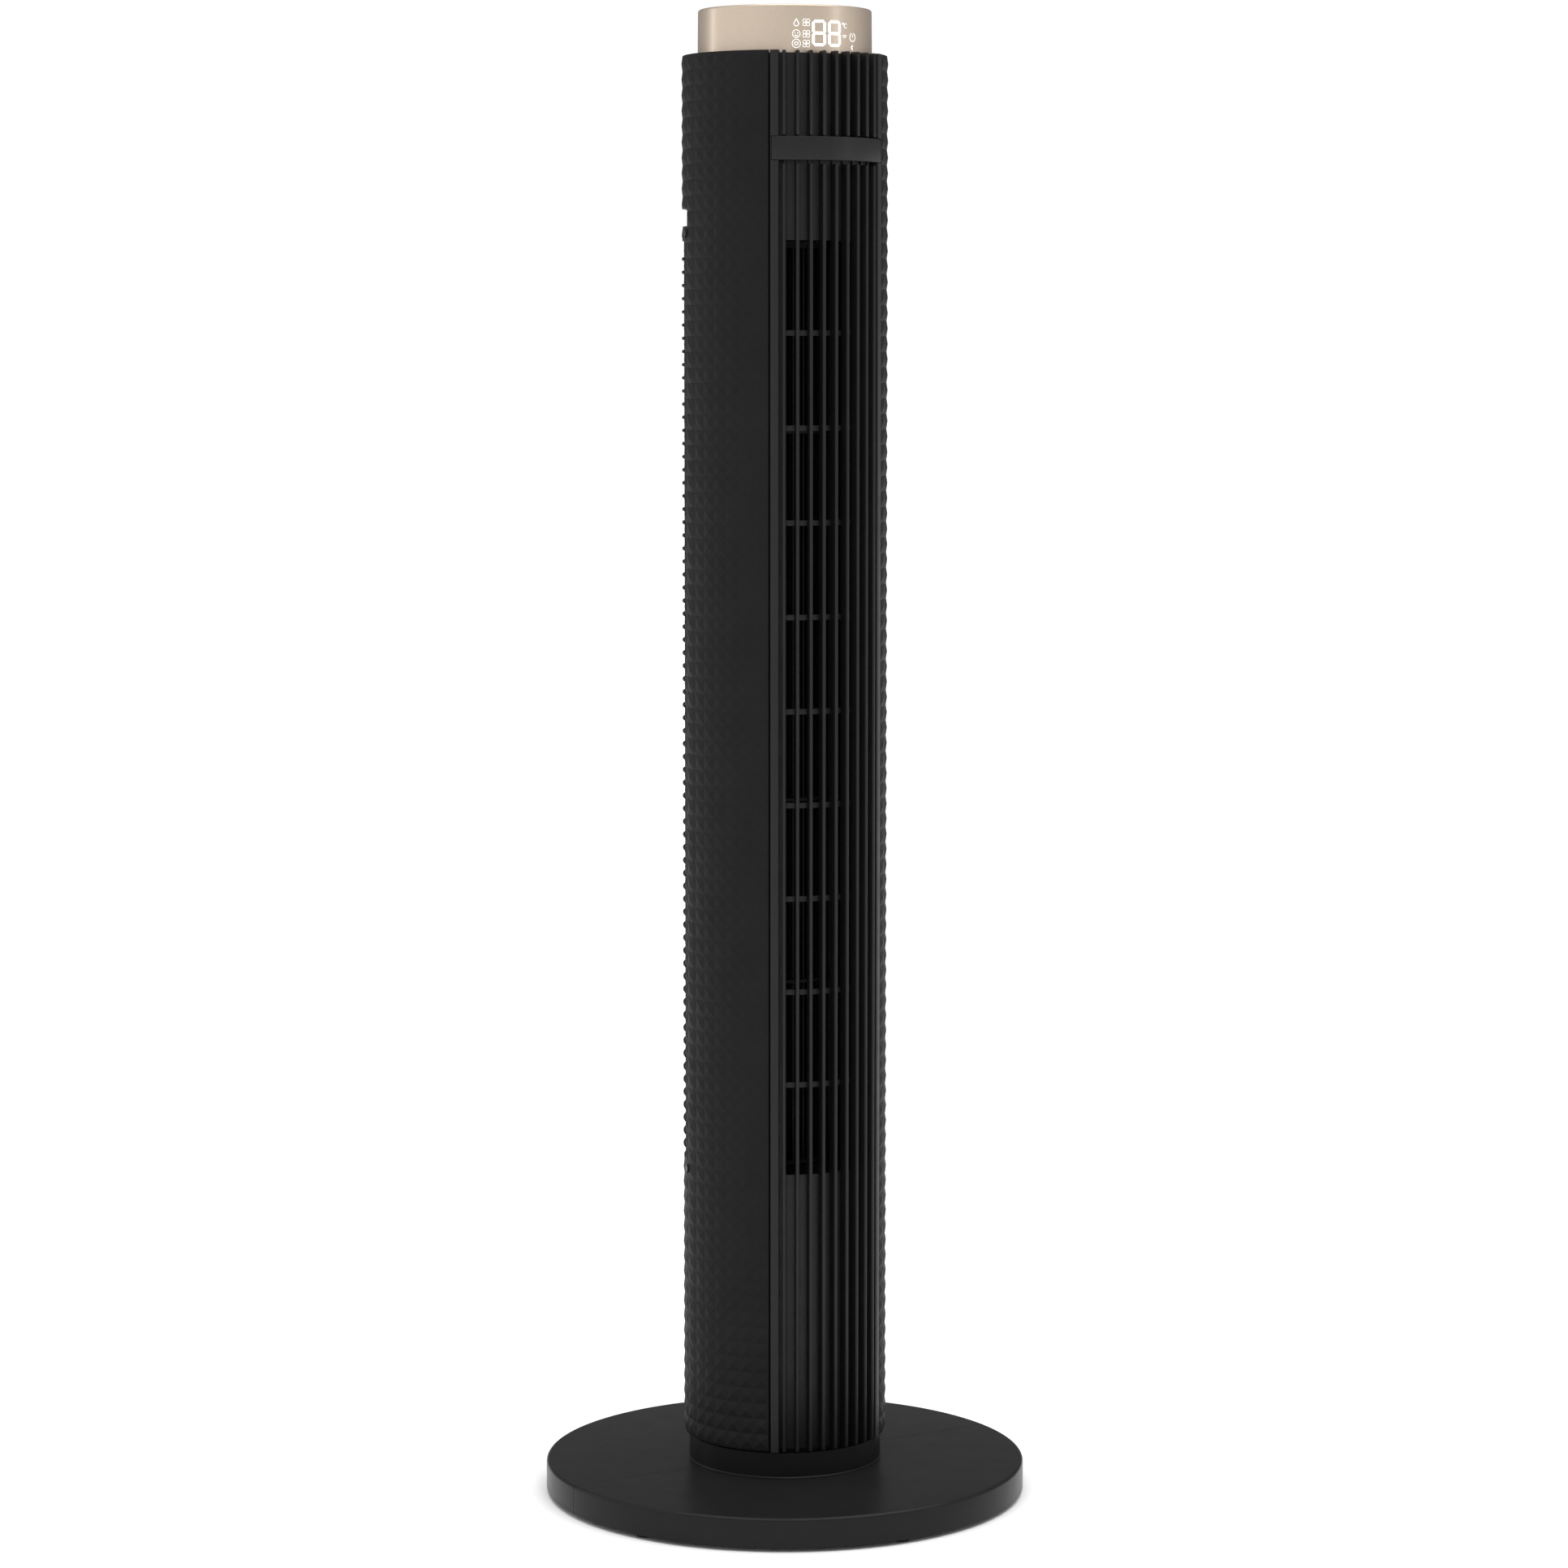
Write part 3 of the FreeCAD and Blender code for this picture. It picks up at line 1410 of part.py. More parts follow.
def control_board():
    """The round board with a switch under each dome."""
    high = S.board_low + S.board_thick
    disc = cylinder(S.board_radius, S.board_low, high)
    switches = [cylinder(S.switch_radius, high, high + S.switch_tall, x, y) for x, y in key_points()]
    chip = block(as_size(-6), as_size(6), as_size(2), as_size(14), high, high + 1.6)
    holes = [cylinder(S.board_screw + S.seat_gap, S.board_low - 1, high + 1, x, y)
             for x, y in board_points()]
    keep(cut(fuse([disc, chip] + switches), fuse(holes)), "control_board")


def board_screws():
    high = S.board_low + S.board_thick
    screws = [screw(x, y, S.board_screw_head, high, high + 1.7, S.board_screw, S.board_low - 7, high)
              for x, y in board_points()]
    keep(group(screws), "board_screws")


def display_board():
    """The upright board behind the cap's front that carries the lamps of the display."""
    back = -S.display_back
    half = S.display_half_width
    keep(block(-half, half, back, back + 1.6, S.display_low, S.display_high), "display_board")


def light_guide():
    """The clear block between the lamps and the cap's wall, curved to fit the wall."""
    half = S.guide_half_width
    inner = S.cap_radius - S.cap_wall - S.seat_gap
    slab = block(-half, half, -S.cap_radius, -S.display_back - S.hole_gap, S.guide_low, S.guide_high)
    keep(common([slab, cylinder(inner, S.guide_low - 1, S.guide_high + 1)]), "light_guide")


# --- the whole fan ----------------------------------------------------------------------------

def build():
    fill_sheet()
    base_halves()
    base_feet()
    base_weights()
    base_screws()
    cord_inlet()
    neck_collar()
    pivot_post()
    glide_ring()
    retaining_washer()
    retaining_clip()
    fixed_gear()
    gear_screws()
    oscillation_pinion()
    turntable()
    oscillation_motor()
    oscillation_motor_screws()
    power_board()
    front_grille()
    front_band()
    side_panels()
    rear_housing()
    rear_grille()
    housing_screws()
    handle_pocket()
    bulkheads()
    duct_scroll()
    duct_tongue()
    impeller_sections()
    impeller_drive_disc()
    impeller_end_disc()
    impeller_stub_shaft()
    motor_rotor()
    motor_housing()
    motor_stator()
    motor_plate()
    motor_dampers()
    motor_screws()
    top_bearing()
    top_deck()
    top_cap()
    control_panel()
    keys()
    key_mat()
    control_board()
    board_screws()
    display_board()
    light_guide()
    doc.recompute()


def check():
    """Stop before anything is written if an object failed or a sub-part isn't sound."""
    for item in doc.Objects:
        if "Invalid" in item.State or "Error" in item.State:
            raise RuntimeError(f"{item.Name} failed: {item.State}")
    for item in subparts:
        if item.Shape.isNull() or not item.Shape.isValid() or not item.Shape.Solids:
            raise RuntimeError(f"{item.Label} isn't a sound solid")


def write():
    os.makedirs("parts", exist_ok=True)
    for item in subparts:
        item.Shape.exportStep(f"parts/{item.Label}.step")


build()
check()
write()
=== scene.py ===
import json
import math

import bmesh
import bpy
from mathutils import Matrix, Vector


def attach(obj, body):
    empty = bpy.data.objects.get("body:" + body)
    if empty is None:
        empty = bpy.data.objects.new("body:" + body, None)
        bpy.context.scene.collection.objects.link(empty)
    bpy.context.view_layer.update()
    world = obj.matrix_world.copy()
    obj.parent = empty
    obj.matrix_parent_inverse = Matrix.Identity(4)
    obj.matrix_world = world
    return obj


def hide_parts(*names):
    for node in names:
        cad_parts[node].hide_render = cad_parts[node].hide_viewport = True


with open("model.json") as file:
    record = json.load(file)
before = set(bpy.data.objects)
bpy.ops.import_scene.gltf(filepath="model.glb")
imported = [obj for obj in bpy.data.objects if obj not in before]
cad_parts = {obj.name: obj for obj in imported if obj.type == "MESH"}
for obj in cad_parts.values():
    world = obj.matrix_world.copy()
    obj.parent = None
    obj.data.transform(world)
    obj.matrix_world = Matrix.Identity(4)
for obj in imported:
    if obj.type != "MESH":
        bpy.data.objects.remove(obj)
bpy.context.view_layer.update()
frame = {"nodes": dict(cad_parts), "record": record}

MM = 0.001
FRONT = -90.0
REAR = 90.0

# Lengths, heights and radii are in millimetres and angles in degrees, in part.py's frame.
TOWER_LOW, TOWER_HIGH, TOWER_RADIUS = 44.0, 1034.6, 73.5
PAST_TOWER = 80.0

# The studded skins: their edges are angles from the front.
PANEL_FROM, PANEL_TO, HOUSING_FROM = 38.97, 93.6, 93.66
SKIN_INNER, STUD_VALLEY, STUD_TOP = 70.5, 72.75, 73.55
STUD_ROWS, STUD_LOW, STUD_STEP = 90, 45.8, 8.61
PANEL_COLUMNS, REAR_COLUMNS = 7, 20
STUD_FOOT_TALL, STUD_FOOT_INSET, SKIN_FOOT_INSET = 1.2, 0.35, 1.0
SKIN_EDGE_ANGLE, SKIN_EDGE_INSET = 0.28, 0.35

# Openings in the rear skin, as (half angle, low, high).
INTAKE_HOLE = (73.0, 243.9, 906.77)
HANDLE_SLOT = (78.3, 914.5, 927.1)
HANDLE_GRIP = (35.0, 914.5, 941.0)


# --- shape helpers ----------------------------------------------------------------------------

def polar(radius, angle):
    return radius * math.cos(math.radians(angle)), radius * math.sin(math.radians(angle))


def rounded(corners, steps=4):
    """A polygon whose corners (x, y, radius) are turned into arcs."""
    points = []
    for i, (x, y, radius) in enumerate(corners):
        if radius <= 0:
            points.append((x, y))
            continue
        here = Vector((x, y))
        to_last = (Vector(corners[i - 1][:2]) - here).normalized()
        to_next = (Vector(corners[(i + 1) % len(corners)][:2]) - here).normalized()
        half = math.acos(max(-1, min(1, to_last.dot(to_next)))) / 2
        reach = radius / math.tan(half)
        centre = here + (to_last + to_next).normalized() * radius / math.sin(half)
        first = here + to_last * reach - centre
        last = here + to_next * reach - centre
        begin = math.atan2(first.y, first.x)
        sweep = math.atan2(last.y, last.x) - begin
        sweep = (sweep + math.pi) % (2 * math.pi) - math.pi
        for step in range(steps + 1):
            turn = begin + sweep * step / steps
            points.append((centre.x + radius * math.cos(turn),
                           centre.y + radius * math.sin(turn)))
    return points


def circle(x, y, radius, steps):
    turns = (2 * math.pi * step / steps for step in range(steps))
    return [(x + radius * math.cos(turn), y + radius * math.sin(turn)) for turn in turns]


def turned(points, angle):
    """Points of a plan, turned about the tower's axis."""
    cos, sin = math.cos(math.radians(angle)), math.sin(math.radians(angle))
    return [(x * cos - y * sin, x * sin + y * cos) for x, y in points]


def at_height(plan, height):
    return [(x, y, height) for x, y in plan]


def lathe(profile, start=0.0, sweep=360.0, steps=64):
    """A profile of (radius, height) turned about the tower's axis, with closed ends."""
    whole = abs(sweep - 360) < 1e-6
    stations = steps if whole else steps + 1
    count = len(profile)
    verts, faces = [], []
    for step in range(stations):
        angle = start + sweep * step / steps
        verts += [(*polar(radius, angle), height) for radius, height in profile]
    for step in range(steps):
        here = step * count
        there = ((step + 1) % stations) * count
        for i in range(count):
            j = (i + 1) % count
            faces.append((here + i, there + i, there + j, here + j))
    if not whole:
        faces.append(tuple(range(count)))
        faces.append(tuple(reversed(range((stations - 1) * count, stations * count))))
    return verts, faces


def box_profile(inner, outer, low, high, edge=0.4, inner_edge=0.0):
    """A profile for lathe: a box with rounded outer and inner edges."""
    return rounded([(inner, low, inner_edge), (outer, low, edge), (outer, high, edge),
                    (inner, high, inner_edge)], 3)


def stacked(rings):
    """A solid made of rings of the same number of points, closed at both ends."""
    count = len(rings[0])
    verts = [point for ring in rings for point in ring]
    faces = [tuple(reversed(range(count)))]
    for level in range(len(rings) - 1):
        for i in range(count):
            j = (i + 1) % count
            a = level * count
            faces.append((a + i, a + j, a + count + j, a + count + i))
    faces.append(tuple(range((len(rings) - 1) * count, len(rings) * count)))
    return verts, faces


def merged(parts):
    """Several shapes as one."""
    verts, faces = [], []
    for some_verts, some_faces in parts:
        base = len(verts)
        verts += some_verts
        faces += [tuple(base + i for i in face) for face in some_faces]
    return verts, faces


def mesh_object(name, shape):
    """An object from millimetre coordinates, with its normals outwards."""
    verts, faces = shape
    mesh = bpy.data.meshes.new(name)
    mesh.from_pydata([(x * MM, y * MM, z * MM) for x, y, z in verts], [], faces)
    work = bmesh.new()
    work.from_mesh(mesh)
    bmesh.ops.recalc_face_normals(work, faces=work.faces)
    work.to_mesh(mesh)
    work.free()
    obj = bpy.data.objects.new(name, mesh)
    bpy.context.scene.collection.objects.link(obj)
    return obj


def combine(obj, shape, operation):
    """Adds a shape to obj (UNION), or cuts it out (DIFFERENCE)."""
    other = mesh_object("tool", shape)
    modifier = obj.modifiers.new("combine", "BOOLEAN")
    modifier.operation = operation
    modifier.solver = "MANIFOLD"
    modifier.object = other
    graph = bpy.context.evaluated_depsgraph_get()
    made = bpy.data.meshes.new_from_object(obj.evaluated_get(graph))
    obj.modifiers.clear()
    obj.data = made
    bpy.data.objects.remove(other)


def finish_piece(obj, body, slot, *nodes, smooth=35):
    """Shading, finish and body of a piece, and the CAD nodes it stands for."""
    if smooth:
        obj.data.shade_smooth()
        obj.data.set_sharp_from_angle(angle=math.radians(smooth))
    else:
        obj.data.shade_flat()
    obj.data.materials.clear()
    obj.data.materials.append(FINISHES[slot])
    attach(obj, body)
    if nodes:
        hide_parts(*nodes)
    return obj


# --- finishes ---------------------------------------------------------------------------------

def set_range(ramp, near, far, low, high):
    """A Map Range node's ends: near to far becomes low to high."""
    for key, value in (("From Min", near), ("From Max", far), ("To Min", low), ("To Max", high)):
        ramp.inputs[key].default_value = value


class Finish:
    """A material on the Principled shader, with its colour, roughness and grain from nodes."""

    def __init__(self, name, colour, roughness, metallic=0.0, specular=0.5):
        self.material = bpy.data.materials.new(name)
        self.material.use_nodes = True
        self.tree = self.material.node_tree
        self.shader = next(n for n in self.tree.nodes if n.type == "BSDF_PRINCIPLED")
        self.shader.inputs["Base Color"].default_value = (*colour, 1)
        self.shader.inputs["Roughness"].default_value = roughness
        self.shader.inputs["Metallic"].default_value = metallic
        self.shader.inputs["Specular IOR Level"].default_value = specular
        self.place = self.node("ShaderNodeTexCoord").outputs["Object"]
        self.normal = None
        self.material.diffuse_color = (*colour, 1)

    def node(self, kind, **values):
        made = self.tree.nodes.new(kind)
        for key, value in values.items():
            if key in made.inputs:
                made.inputs[key].default_value = value
            else:
                setattr(made, key, value)
        return made

    def link(self, source, target):
        self.tree.links.new(source, target)

    def noise(self, scale, detail=2.0, stretch=None):
        texture = self.node("ShaderNodeTexNoise", Scale=scale, Detail=detail)
        source = self.place
        if stretch:
            mapping = self.node("ShaderNodeMapping", Scale=stretch)
            self.link(source, mapping.inputs["Vector"])
            source = mapping.outputs["Vector"]
        self.link(source, texture.inputs["Vector"])
        return texture.outputs["Fac"]

    def spread(self, source, low, high, near=0.3, far=0.7):
        ramp = self.node("ShaderNodeMapRange")
        set_range(ramp, near, far, low, high)
        self.link(source, ramp.inputs["Value"])
        return ramp.outputs["Result"]

    def vary_roughness(self, scale, low, high, stretch=None):
        level = self.spread(self.noise(scale, 4.0, stretch), low, high)
        self.link(level, self.shader.inputs["Roughness"])
        return self

    def vary_colour(self, scale, one, other, stretch=None):
        mix = self.node("ShaderNodeMix", data_type="RGBA")
        for socket, value in ((6, one), (7, other)):
            mix.inputs[socket].default_value = (*value, 1)
        self.link(self.spread(self.noise(scale, 3.0, stretch), 0.0, 1.0), mix.inputs["Factor"])
        self.link(mix.outputs[2], self.shader.inputs["Base Color"])
        return self

    def grain(self, scale, height, detail=2.0, stretch=None, strength=1.0):
        bump = self.node("ShaderNodeBump", Distance=height, Strength=strength)
        self.link(self.noise(scale, detail, stretch), bump.inputs["Height"])
        if self.normal:
            self.link(self.normal, bump.inputs["Normal"])
        self.normal = bump.outputs["Normal"]
        self.link(self.normal, self.shader.inputs["Normal"])
        return self

    def set(self, **values):
        for key, value in values.items():
            self.shader.inputs[key.replace("_", " ")].default_value = value
        return self


BLUE_CAST = 1.02


def black(name, level, low, high, grain=0.000012, specular=0.4, grain_scale=2400):
    """Moulded black plastic: fine spark-eroded grain over slow changes of gloss."""
    tone = (level, level, level * BLUE_CAST)
    made = Finish(name, tone, (low + high) / 2, specular=specular)
    made.vary_colour(35, tone, tuple(part * 0.86 for part in tone))
    made.vary_roughness(60, low, high)
    made.grain(grain_scale, grain)
    made.grain(90, grain * 0.5, detail=1.0)
    return made.material


def metal(name, colour, low, high, stretch=None, grain=0.000006):
    made = Finish(name, colour, (low + high) / 2, metallic=1.0)
    made.vary_colour(120, colour, tuple(part * 0.8 for part in colour), stretch)
    made.vary_roughness(300, low, high, stretch)
    made.grain(900, grain, stretch=stretch)
    return made.material


def gold():
    made = Finish("gold_finish", (0.56, 0.46, 0.37), 0.34, metallic=0.65)
    made.vary_colour(1800, (0.60, 0.49, 0.39), (0.52, 0.43, 0.34))
    made.vary_roughness(700, 0.28, 0.38)
    made.grain(3600, 0.000004)
    made.grain(60, 0.00001, detail=1.0)
    made.set(Coat_Weight=0.25, Coat_Roughness=0.12)
    return made.material


def board():
    made = Finish("board", (0.015, 0.09, 0.035), 0.4)
    made.vary_colour(260, (0.015, 0.09, 0.035), (0.03, 0.16, 0.06), (1, 6, 1))
    made.vary_roughness(400, 0.3, 0.5)
    made.grain(500, 0.00002)
    return made.material


def clear():
    made = Finish("clear", (0.9, 0.92, 0.94), 0.15)
    made.set(Transmission_Weight=0.8, IOR=1.49)
    made.vary_roughness(200, 0.1, 0.25)
    made.grain(300, 0.00001)
    return made.material


def soft(name, colour, low, high):
    made = Finish(name, colour, (low + high) / 2, specular=0.35)
    made.vary_colour(140, colour, tuple(part * 0.82 for part in colour))
    made.vary_roughness(220, low, high)
    made.grain(1300, 0.00002)
    return made.material


def lit(name, tone, power):
    """A lit segment behind the cap's paint."""
    made = Finish(name, (tone, tone, tone), 0.4)
    made.vary_roughness(900, 0.35, 0.5)
    made.grain(2000, 0.000004)
    made.set(Emission_Color=(1.0, 1.0, 1.0, 1), Emission_Strength=power)
    return made.material


FINISHES = {
    "base_plastic": black("base_plastic", 0.0125, 0.28, 0.33, grain=0.000002, specular=0.12),
    "neck_plastic": black("neck_plastic", 0.006, 0.32, 0.42, grain=0.000006, specular=0.14),
    "grille_plastic": black("grille_plastic", 0.0085, 0.34, 0.44, specular=0.27),
    "panel_plastic": black("panel_plastic", 0.0118, 0.48, 0.56, specular=0.08),
    "housing_plastic": black("housing_plastic", 0.0118, 0.48, 0.56, specular=0.08),
    # The parts inside the tower are made near-black: a painted shade for the dark inside seen
    # through the front window.
    "inner_plastic": black("inner_plastic", 0.0025, 0.50, 0.62, specular=0.08),
    "impeller_plastic": black("impeller_plastic", 0.004, 0.45, 0.60, specular=0.12),
    "gold_finish": gold(),
    "panel_gloss": black("panel_gloss", 0.006, 0.06, 0.12, grain=0.000002, specular=0.5),
    "key_plastic": black("key_plastic", 0.020, 0.28, 0.36, grain=0.000006),
    "rubber": soft("rubber", (0.012, 0.012, 0.012), 0.65, 0.85),
    "silicone": soft("silicone", (0.55, 0.55, 0.53), 0.5, 0.65),
    "steel": metal("steel", (0.55, 0.55, 0.54), 0.28, 0.42, (1, 1, 12)),
    "dark_steel": metal("dark_steel", (0.05, 0.05, 0.052), 0.35, 0.5),
    "iron": metal("iron", (0.16, 0.15, 0.14), 0.5, 0.7, (1, 1, 40)),
    "bronze": metal("bronze", (0.55, 0.38, 0.18), 0.4, 0.6),
    "acetal": soft("acetal", (0.78, 0.77, 0.72), 0.35, 0.5),
    "board": board(),
    "clear": clear(),
}
DIGIT_LIGHT = lit("digit_light", 0.8, 1.1)
ICON_LIGHT = lit("icon_light", 0.7, 0.75)
KEY_PRINT = soft("key_print", (0.62, 0.60, 0.56), 0.4, 0.55)

for part in frame["record"]["subparts"]:
    node = frame["nodes"][part["node"]]
    node.data.materials.clear()
    node.data.materials.append(FINISHES[part["material_slot"]])


# --- studded skins ----------------------------------------------------------------------------

def stud_cells(work, start, direction, count):
    """Square pyramids on the unrolled skin: x is the angle, y the height and z the radius."""
    pitch = (TOWER_HIGH - STUD_LOW) / STUD_ROWS
    valley = {}

    def corner(column, row):
        key = (column, row)
        if key not in valley:
            angle = start + direction * STUD_STEP * column
            valley[key] = work.verts.new((angle, STUD_LOW + pitch * row, STUD_VALLEY))
        return valley[key]

    for column in range(count):
        for row in range(STUD_ROWS):
            ring = [corner(column, row), corner(column + 1, row),
                    corner(column + 1, row + 1), corner(column, row + 1)]
            tip = work.verts.new((start + direction * STUD_STEP * (column + 0.5),
                                  STUD_LOW + pitch * (row + 0.5), STUD_TOP))
            for i in range(4):
                work.faces.new((ring[i], ring[(i + 1) % 4], tip))
    last = [corner(column, 0) for column in range(count + 1)]
    for height, inset in ((STUD_LOW - STUD_FOOT_TALL, STUD_FOOT_INSET),
                          (TOWER_LOW, SKIN_FOOT_INSET)):
        line = [work.verts.new((v.co.x, height, STUD_VALLEY - inset)) for v in last]
        for i in range(count):
            work.faces.new((last[i], line[i], line[i + 1], last[i + 1]))
        last = line


def slice_at(work, axis, value, keep_side=0):
    """Cuts all faces at an x (axis 0) or a y (axis 1). It keeps both sides, or only the side
    beyond the cut (keep_side 1) or before it (-1)."""
    point, normal = [0, 0, 0], [0, 0, 0]
    point[axis], normal[axis] = value, 1
    bmesh.ops.bisect_plane(work, geom=work.verts[:] + work.edges[:] + work.faces[:], dist=1e-5,
                           plane_co=point, plane_no=normal, clear_outer=keep_side < 0,
                           clear_inner=keep_side > 0)


def studded_skin(name, start, direction, count, span, middle, openings, slot, *nodes):
    """A skin with moulded studs; its openings are (angle from, angle to, low, high)."""
    work = bmesh.new()
    stud_cells(work, start, direction, count)
    slice_at(work, 0, span[0], 1)
    slice_at(work, 0, span[1], -1)
    for left, right, low, high in openings:
        for axis, value in ((0, left), (0, right), (1, low), (1, high)):
            slice_at(work, axis, value)
    gone = []
    for face in work.faces:
        where = face.calc_center_median()
        if any(l < where.x < r and low < where.y < high for l, r, low, high in openings):
            gone.append(face)
    bmesh.ops.delete(work, geom=gone, context="FACES")
    for side in (0, 1):
        inwards = SKIN_EDGE_ANGLE if side == 0 else -SKIN_EDGE_ANGLE
        slice_at(work, 0, span[side] + inwards)
        for vert in work.verts:
            if abs(vert.co.x - span[side]) < 1e-4:
                vert.co.z -= SKIN_EDGE_INSET
    verts, faces = [], []
    work.verts.index_update()
    total = len(work.verts)
    for radius in (None, SKIN_INNER):
        for vert in work.verts:
            angle, height = vert.co.x + middle, vert.co.y
            verts.append((*polar(radius or vert.co.z, angle), height))
    for face in work.faces:
        ring = [vert.index for vert in face.verts]
        faces.append(tuple(ring))
        faces.append(tuple(total + i for i in reversed(ring)))
    for edge in work.edges:
        if edge.is_boundary:
            a, b = (vert.index for vert in edge.verts)
            faces.append((a, b, total + b, total + a))
    work.free()
    return finish_piece(mesh_object(name, (verts, faces)), "tower", slot, *nodes, smooth=0)


half_panel = (PANEL_TO - PANEL_FROM) / 2
for side, label in ((-1, "left"), (1, "right")):
    centre = FRONT + side * (PANEL_FROM + PANEL_TO) / 2
    studded_skin("studded_panel_" + label, -side * half_panel, side, PANEL_COLUMNS,
                 (-half_panel, half_panel), centre, [], "panel_plastic", "side_panel_" + label)

half_rear = 180 - HOUSING_FROM
rear_openings = [(-half, half, low, high)
                 for half, low, high in (INTAKE_HOLE, HANDLE_SLOT, HANDLE_GRIP)]
studded_skin("studded_housing", -REAR_COLUMNS / 2 * STUD_STEP, 1, REAR_COLUMNS,
             (-half_rear, half_rear), REAR, rear_openings, "housing_plastic", "rear_housing")


# --- front grille -----------------------------------------------------------------------------

BACKING_INNER, BACKING_OUTER, BACKING_HALF = 64.0, 66.5, 42.0
BACKING_LOW, BACKING_HIGH = 44.9, 1033.2
WINDOW_LOW, WINDOW_HIGH, WINDOW_HALF, WINDOW_ROWS = 243.3, 907.2, 31.6, 10
BAR_TALL, PANE_OVER = 3.8, 3
FIN_ROOT, FIN_THICK, FIN_STEP, FIN_COUNT = 66.0, 2.7, 7.6, 9
CHEEK_FROM, CHEEK_TO = 33.3, 38.03
BAND_LOW, BAND_HIGH, BAND_HALF = 958.8, 975.1, 37.2
FINS_STOP, FINS_START = 956.3, 975.8
FIN_ENDS = [(0.0, 0.75), (0.22, 0.36), (0.6, 0.1), (1.1, 0.0)]
FIN_LAP, LOW_FIN_NOSE = 3, 68.25
CHEEK_INNER = BACKING_INNER + 0.2
BAND_INNER, BAND_SEAT, BAND_SEAT_GAP, BAND_SEAT_ANGLE = 71.0, 70.85, 0.35, 0.3
PLUG_INNER, PLUG_OUTER, PLUG_GAP_ANGLE = 68.4, 71.6, 0.15


def fin_ring(angle, height, inset, nose):
    """The plan of a fin at one height, drawn in by inset."""
    half = FIN_THICK / 2 - inset
    centre = nose - FIN_THICK / 2
    points = [(FIN_ROOT, -half), (centre, -half)]
    for step in range(1, 8):
        turn = math.radians(-90 + 180 * step / 8)
        points.append((centre + half * math.cos(turn), half * math.sin(turn)))
    points += [(centre, half), (FIN_ROOT, half)]
    return at_height(turned(points, angle), height)


def fin(angle, low, high, nose=TOWER_RADIUS, soft_low=True, soft_high=True):
    """An upright fin with a round nose, whose ends are rounded where soft_low and soft_high say."""
    square = [(0.0, 0.0)]
    rings = []
    for rise, inset in FIN_ENDS if soft_low else square:
        rings.append(fin_ring(angle, low + rise, inset, nose))
    for rise, inset in reversed(FIN_ENDS if soft_high else square):
        rings.append(fin_ring(angle, high - rise, inset, nose))
    return stacked(rings)


def front_sector(half, inner, outer, low, high, edge, steps):
    """A piece of ring about the front, reaching half to each side."""
    return lathe(box_profile(inner, outer, low, high, edge), FRONT - half, 2 * half, steps)


def cheek(side):
    """The strip beside the fins, with rounded outer corners, as a tall prism."""
    near, far = CHEEK_FROM, CHEEK_TO
    corners = []
    for angle, radius, edge in ((near, CHEEK_INNER, 0.0), (near, TOWER_RADIUS, 0.9),
                                (far, TOWER_RADIUS, 0.7), (far, CHEEK_INNER, 0.0)):
        x, y = polar(radius, FRONT + side * angle)
        corners.append((x, y, edge))
    plan = rounded(corners, 5)
    return stacked([at_height(plan, height) for height in (TOWER_LOW, TOWER_HIGH)])


def finned_front():
    """The front moulding: a backing with the window's panes, fins, cheeks and the band's seat."""
    front = mesh_object("finned_front", front_sector(BACKING_HALF, BACKING_INNER, BACKING_OUTER,
                                                     BACKING_LOW, BACKING_HIGH, 0.3, 84))
    row = (WINDOW_HIGH - WINDOW_LOW) / WINDOW_ROWS
    panes = []
    for index in range(WINDOW_ROWS):
        low = WINDOW_LOW + row * index
        panes.append(front_sector(WINDOW_HALF, BACKING_INNER - PANE_OVER, BACKING_OUTER + PANE_OVER,
                                  low, low + row - BAR_TALL, 0.0, 64))
    combine(front, merged(panes), "DIFFERENCE")
    fin_angles = [FRONT + FIN_STEP * (index - (FIN_COUNT - 1) / 2) for index in range(FIN_COUNT)]
    upright = [fin(angle, TOWER_LOW, FINS_STOP) for angle in fin_angles]
    upright += [fin(angle, FINS_START, TOWER_HIGH) for angle in fin_angles]
    upright += [cheek(-1), cheek(1)]
    combine(front, merged(upright), "UNION")
    low_fins = [fin(angle, FINS_STOP - FIN_LAP, FINS_START + FIN_LAP, LOW_FIN_NOSE, False, False)
                for angle in fin_angles]
    combine(front, merged(low_fins), "UNION")
    seat = front_sector(BAND_HALF + BAND_SEAT_ANGLE, BAND_SEAT, PAST_TOWER,
                        BAND_LOW - BAND_SEAT_GAP, BAND_HIGH + BAND_SEAT_GAP, 0.0, 60)
    combine(front, seat, "DIFFERENCE")
    finish_piece(front, "tower", "grille_plastic", "front_grille", smooth=38)


finned_front()


def strap():
    """The band across the fins: thick between the cheeks, and a thin flange over them."""
    outer = front_sector(BAND_HALF, BAND_INNER, TOWER_RADIUS, BAND_LOW, BAND_HIGH, 0.55, 60)
    band = mesh_object("grille_band", outer)
    reach = CHEEK_FROM - PLUG_GAP_ANGLE
    combine(band, lathe(box_profile(PLUG_INNER, PLUG_OUTER, BAND_LOW, BAND_HIGH, 0.0, 0.4),
                        FRONT - reach, 2 * reach, 54), "UNION")
    finish_piece(band, "tower", "grille_plastic", "front_band")


strap()


# --- rear intake ------------------------------------------------------------------------------

